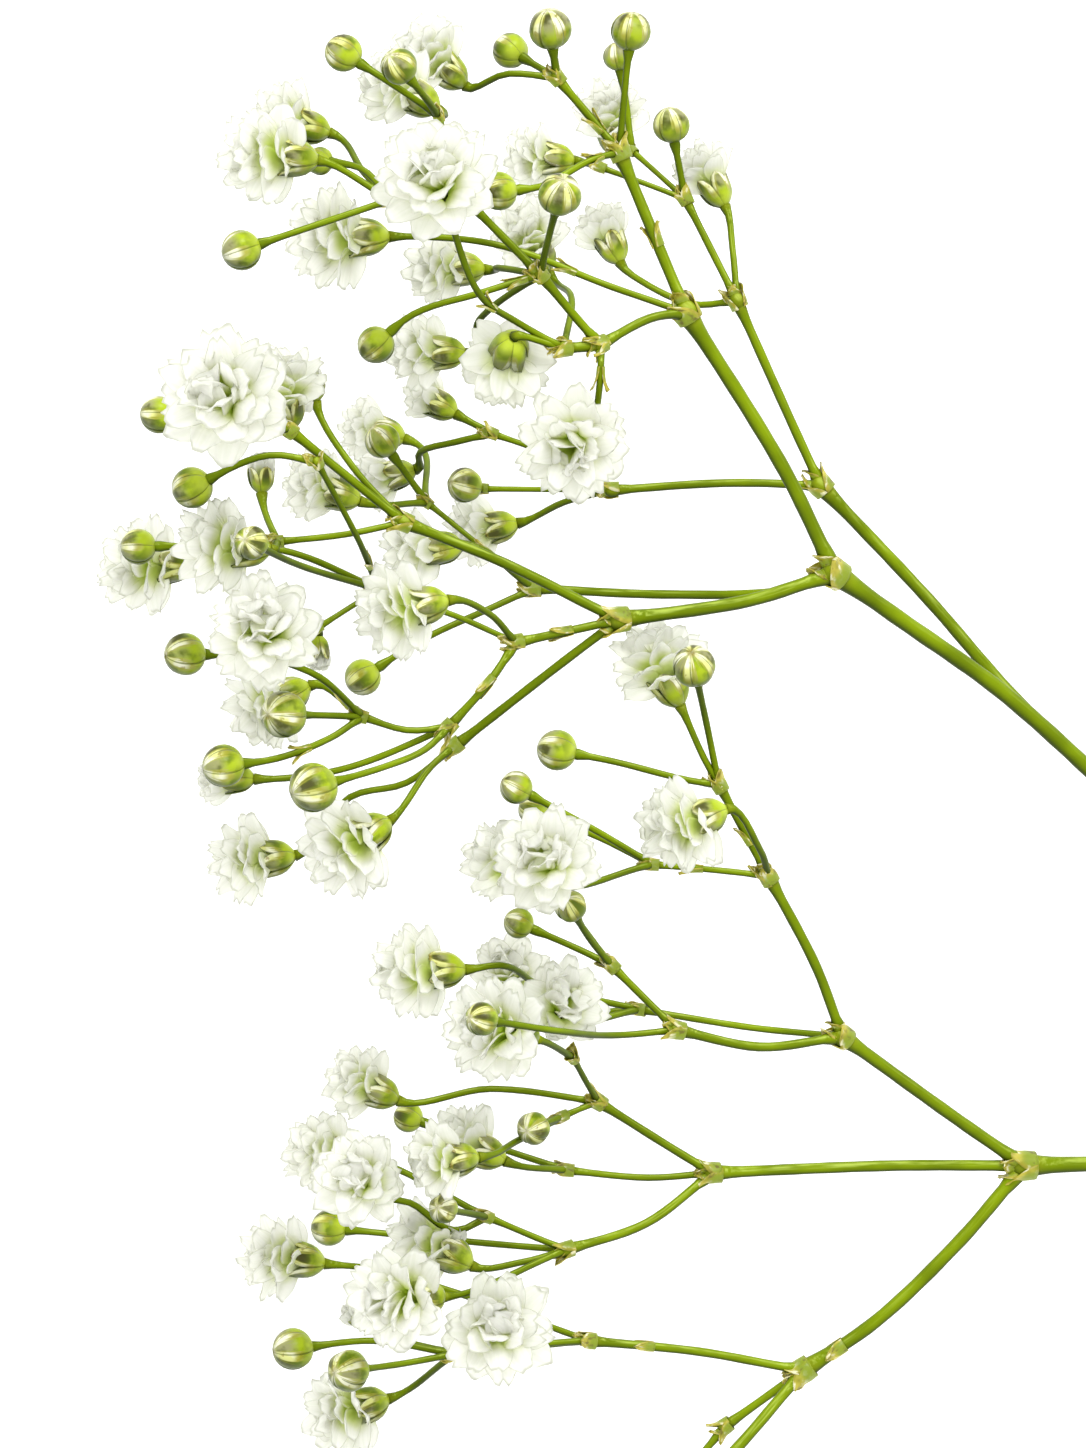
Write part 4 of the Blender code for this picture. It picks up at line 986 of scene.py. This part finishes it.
def sepal_green():
    """Green sepal with veins, broad cream margins, an olive patch and a pale tip, painted shade along its
    edges and on the side facing away from the light.
    """
    sepal = Surface("sepal green", 0.3)
    veins = sepal.grain(5, 1.2, 4.0)
    blots = sepal.noise(700)
    green = sepal.mix(sepal.rise(blots, 0.38, 0.62), SEPAL_DARK, SEPAL_LIGHT)
    skin = sepal.mix(sepal.times(sepal.fall(sepal.along, 0.15, 0.5), 0.8), green, SEPAL_BASE)

    # The cream margin is broader towards the tip, wanders with the veins, and has a dark line at its border.
    wander = sepal.times(sepal.math("SUBTRACT", veins, 0.5), 1.1)
    edge = sepal.math("ADD", sepal.off_middle, wander)
    widening = sepal.times(sepal.math("SUBTRACT", sepal.along, 0.55), 0.6)
    inward = sepal.math("ADD", edge, widening)
    margin = sepal.times(sepal.rise(inward, 0.34, 0.68), sepal.rise(sepal.along, 0.32, 0.6))
    cream = sepal.mix(sepal.rise(blots, 0.4, 0.6), MARGIN_DARK, MARGIN_LIGHT)
    specks = sepal.times(sepal.rise(sepal.noise(1500, 2.0), 0.6, 0.68), 0.7)
    skin = sepal.mix(margin, skin, sepal.mix(specks, cream, MARGIN_SPECKS))
    line = sepal.times(sepal.times(margin, sepal.math("SUBTRACT", 1.0, margin)), 3.2)
    skin = sepal.mix(line, skin, MARGIN_LINE)

    # The olive patch lies in the middle of the upper half, on most sepals.
    patch = sepal.times(sepal.rise(sepal.along, 0.42, 0.66), sepal.fall(edge, 0.15, 0.6))
    patch = sepal.times(patch, sepal.fall(sepal.along, 0.84, 0.95))
    patch = sepal.times(patch, sepal.rise(sepal.tone, 0.0, 0.4))
    skin = sepal.mix(patch, skin, sepal.mix(sepal.rise(blots, 0.4, 0.6), PATCH_DARK, PATCH_LIGHT))
    tip = sepal.mix(sepal.rise(blots, 0.4, 0.55), TIP_DARK, TIP_LIGHT)
    skin = sepal.mix(sepal.times(sepal.rise(sepal.along, 0.86, 0.97), 0.75), skin, tip)
    # Painted shade darkens the sepal's edges, where it laps its neighbour.
    skin = sepal.mix(sepal.times(sepal.rise(sepal.off_middle, 0.9, 0.97), 0.75), skin, SEPAL_GROOVE_SHADE)
    # Painted shade darkens the side facing away from the light.
    sepal.colour(sepal.mix(sepal.rise(sepal.facing_painted_light, -0.5, 0.85), SEPAL_PAINTED_SHADE, skin))
    sepal.bump(veins, 0.4, 0.06)
    sepal.shader.inputs["Specular IOR Level"].default_value = 0.25
    sepal.let_light_through(SEPAL_GLOW, 0.1)
    return sepal.material


def petal_white():
    """White petal with faint veins and a grey rim of painted shade, yellow-green towards its root, and
    yellow-green deep in the bloom, partly its own colour and partly painted light.
    """
    petal = Surface("petal white", 0.55)
    veins = petal.grain(5, 0.5)
    white = petal.mix(petal.rise(veins, 0.34, 0.56), PETAL_VEIN, PETAL_WHITE)
    rim = petal.math("MAXIMUM", petal.off_middle, petal.along)
    # A grey rim of painted shade along the petal's edge.
    white = petal.mix(petal.times(petal.rise(rim, 0.95, 0.99), 0.6), white, PETAL_RIM_SHADE)
    # Towards the root the yellow-green is the petal's own colour; deep in the bloom it is also painted light,
    # as if passed through the petals.
    deep_painted_light = petal.times(petal.rise(petal.depth, 0.32, 0.78), 0.85)
    white = petal.mix(petal.math("MAXIMUM", petal.fall(petal.along, 0.12, 0.5), deep_painted_light), white, PETAL_ROOT_AND_PAINTED_LIGHT)
    # The deepest heart is painted a stronger yellow-green: partly its own green, partly painted light.
    white = petal.mix(petal.rise(petal.depth, 0.52, 0.88), white, PETAL_HEART_AND_PAINTED_LIGHT)
    petal.colour(white)
    petal.bump(veins, 0.6, 0.1)
    petal.let_light_through(petal.mix(0.45, white, PETAL_GLOW), 0.65)
    return petal.material


def cut_pith():
    """The pale, fibrous face of the cut."""
    pith = Surface("cut pith", 0.7)
    fibres = pith.noise(2500)
    pith.colour(pith.mix(pith.rise(fibres, 0.35, 0.65), PITH_DARK, PITH_LIGHT))
    pith.bump(fibres, 0.4, 0.05)
    return pith.material


# The pieces that stand for the green plant body.
BRACT_THICKNESS = 0.06
SEPAL_THICKNESS = 0.08
CUT_THICKNESS = 0.04
CUT_PROUD = 0.03
CUT_SHARES = (0.05, 0.35, 0.65, 0.9)


def add_main_stem(piece):
    """The stretch that lies on the surface, cut at a slant."""
    route = ROUTES["main"]
    leave, arrive = ((after - before).normalized() for before, after in zip(route, route[1:]))
    points = smooth_route(route, leave, arrive, MAIN_STEP * MM)
    lengths = [(point - points[-1]).length / MM / MAIN_WIDTH for point in points]
    tones = [swelling(length, *TIP_TINT) for length in lengths]
    widths = [MAIN_WIDTH * (1 + MAIN_SWELLING * tone) for tone in tones]
    add_tube(piece, points, widths, MAIN_SIDES, tones)
    for corner in piece.points[:MAIN_SIDES]:
        corner[0] += (corner[2] / points[0].z - 1) * CUT_SLANT / 2 * MM


def add_cut_face(piece, ring):
    """The pale face of the cut, just proud of the stem's end."""
    ring = np.array(ring + ring[:1])
    middle = ring[:-1].mean(axis=0)
    proud = np.array((CUT_PROUD * MM, 0, 0))
    rows = [middle + (ring - middle) * share + proud for share in CUT_SHARES]
    piece.add_grid(rows, np.linspace(0, 1, MAIN_SIDES + 1), (0, 0.35, 0.65, 1))


def green_body():
    """Stems, bracts, buds and cups."""
    seed = random.Random("green body")
    stems, cut, bracts, buds, cups = Piece(), Piece(), Piece(), Piece(), Piece()
    add_main_stem(stems)
    add_cut_face(cut, stems.points[:MAIN_SIDES])
    for name in ROUTES:
        if name != "main":
            add_stem(stems, name)
    for fork in FORKS:
        add_knot(stems, fork)
        add_bracts(bracts, fork, seed)
    for name, share in SCALES.items():
        add_scales(bracts, name, share, seed)
    for name in BUDS:
        add_bud(buds, name, seed)
    for name in BLOOMS:
        add_calyx(cups, name, seed)
    sepal = sepal_green()
    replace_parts(stems.made("stems", stem_green(), "stem"), "stem")
    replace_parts(cut.made("cut_face", cut_pith(), "stem", CUT_THICKNESS), "stem")
    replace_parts(bracts.made("bracts", bract_gold(), "stem", BRACT_THICKNESS), "stem")
    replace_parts(buds.made("buds", sepal, "stem", SEPAL_THICKNESS), "stem")
    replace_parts(cups.made("calyx_cups", sepal, "stem", SEPAL_THICKNESS), "stem")


# The table, the lights and the camera, in metres and watts. The lights are (place, size, power).
TABLE_REACH = 3
TABLE_HEIGHT = -0.0005
TABLE_WHITE = (0.92, 0.92, 0.92, 1)
TABLE_GLOW = 0.35
LIGHTS = {
    "main light": ((0.25, 0.95, 1.1), 0.55, 11.5),
    "fill light": ((-1.2, -0.6, 1.0), 1.2, 6),
}
LIT_PLACE = Vector((-0.03, 0, 0.02))
SENSOR = 36
NEAREST_SEEN = 0.01
WHITE = (1, 1, 1, 1)


def table():
    """A plain white surface just under the spray. It glows, so that no shadow shows on it."""
    mesh = bpy.data.meshes.new("table")
    signs = ((-1, -1), (1, -1), (1, 1), (-1, 1))
    mesh.from_pydata([(TABLE_REACH * x, TABLE_REACH * y, 0) for x, y in signs], [], [(0, 1, 2, 3)])
    top = placed("table", mesh)
    top.location.z = TABLE_HEIGHT
    material = bpy.data.materials.new("table white")
    material.use_nodes = True
    shader = material.node_tree.nodes["Principled BSDF"]
    shader.inputs["Base Color"].default_value = TABLE_WHITE
    shader.inputs["Roughness"].default_value = 0.9
    shader.inputs["Emission Color"].default_value = WHITE
    shader.inputs["Emission Strength"].default_value = TABLE_GLOW
    mesh.materials.append(material)


def studio():
    """Soft daylight all round, and square soft lights that look at the middle of the spray."""
    world = bpy.data.worlds.new("studio")
    world.use_nodes = True
    world.node_tree.nodes["Background"].inputs["Color"].default_value = WHITE
    world.node_tree.nodes["Background"].inputs["Strength"].default_value = 1.0
    bpy.context.scene.world = world
    for name, (place, size, power) in LIGHTS.items():
        data = bpy.data.lights.new(name, "AREA")
        data.size = size
        data.energy = power
        light = placed(name, data)
        light.location = place
        light.rotation_euler = (LIT_PLACE - Vector(place)).to_track_quat("-Z", "Y").to_euler()
    bpy.context.scene.view_settings.view_transform = "Standard"


def camera():
    """The camera, straight above the photo's middle, with a view as high as the photo at the table."""
    eye = placed("camera", bpy.data.cameras.new("camera"))
    eye.data.sensor_fit = "VERTICAL"
    eye.data.sensor_height = SENSOR
    eye.data.lens = SENSOR * EYE_HEIGHT / PHOTO_HEIGHT
    eye.data.clip_start = NEAREST_SEEN
    eye.location = Vector((-PLAN_CENTRE[0], -PLAN_CENTRE[1], EYE_HEIGHT)) * MM
    bpy.context.scene.camera = eye


green_body()
white = petal_white()
for name in BLOOMS:
    bloom(name, white)
table()
studio()
camera()
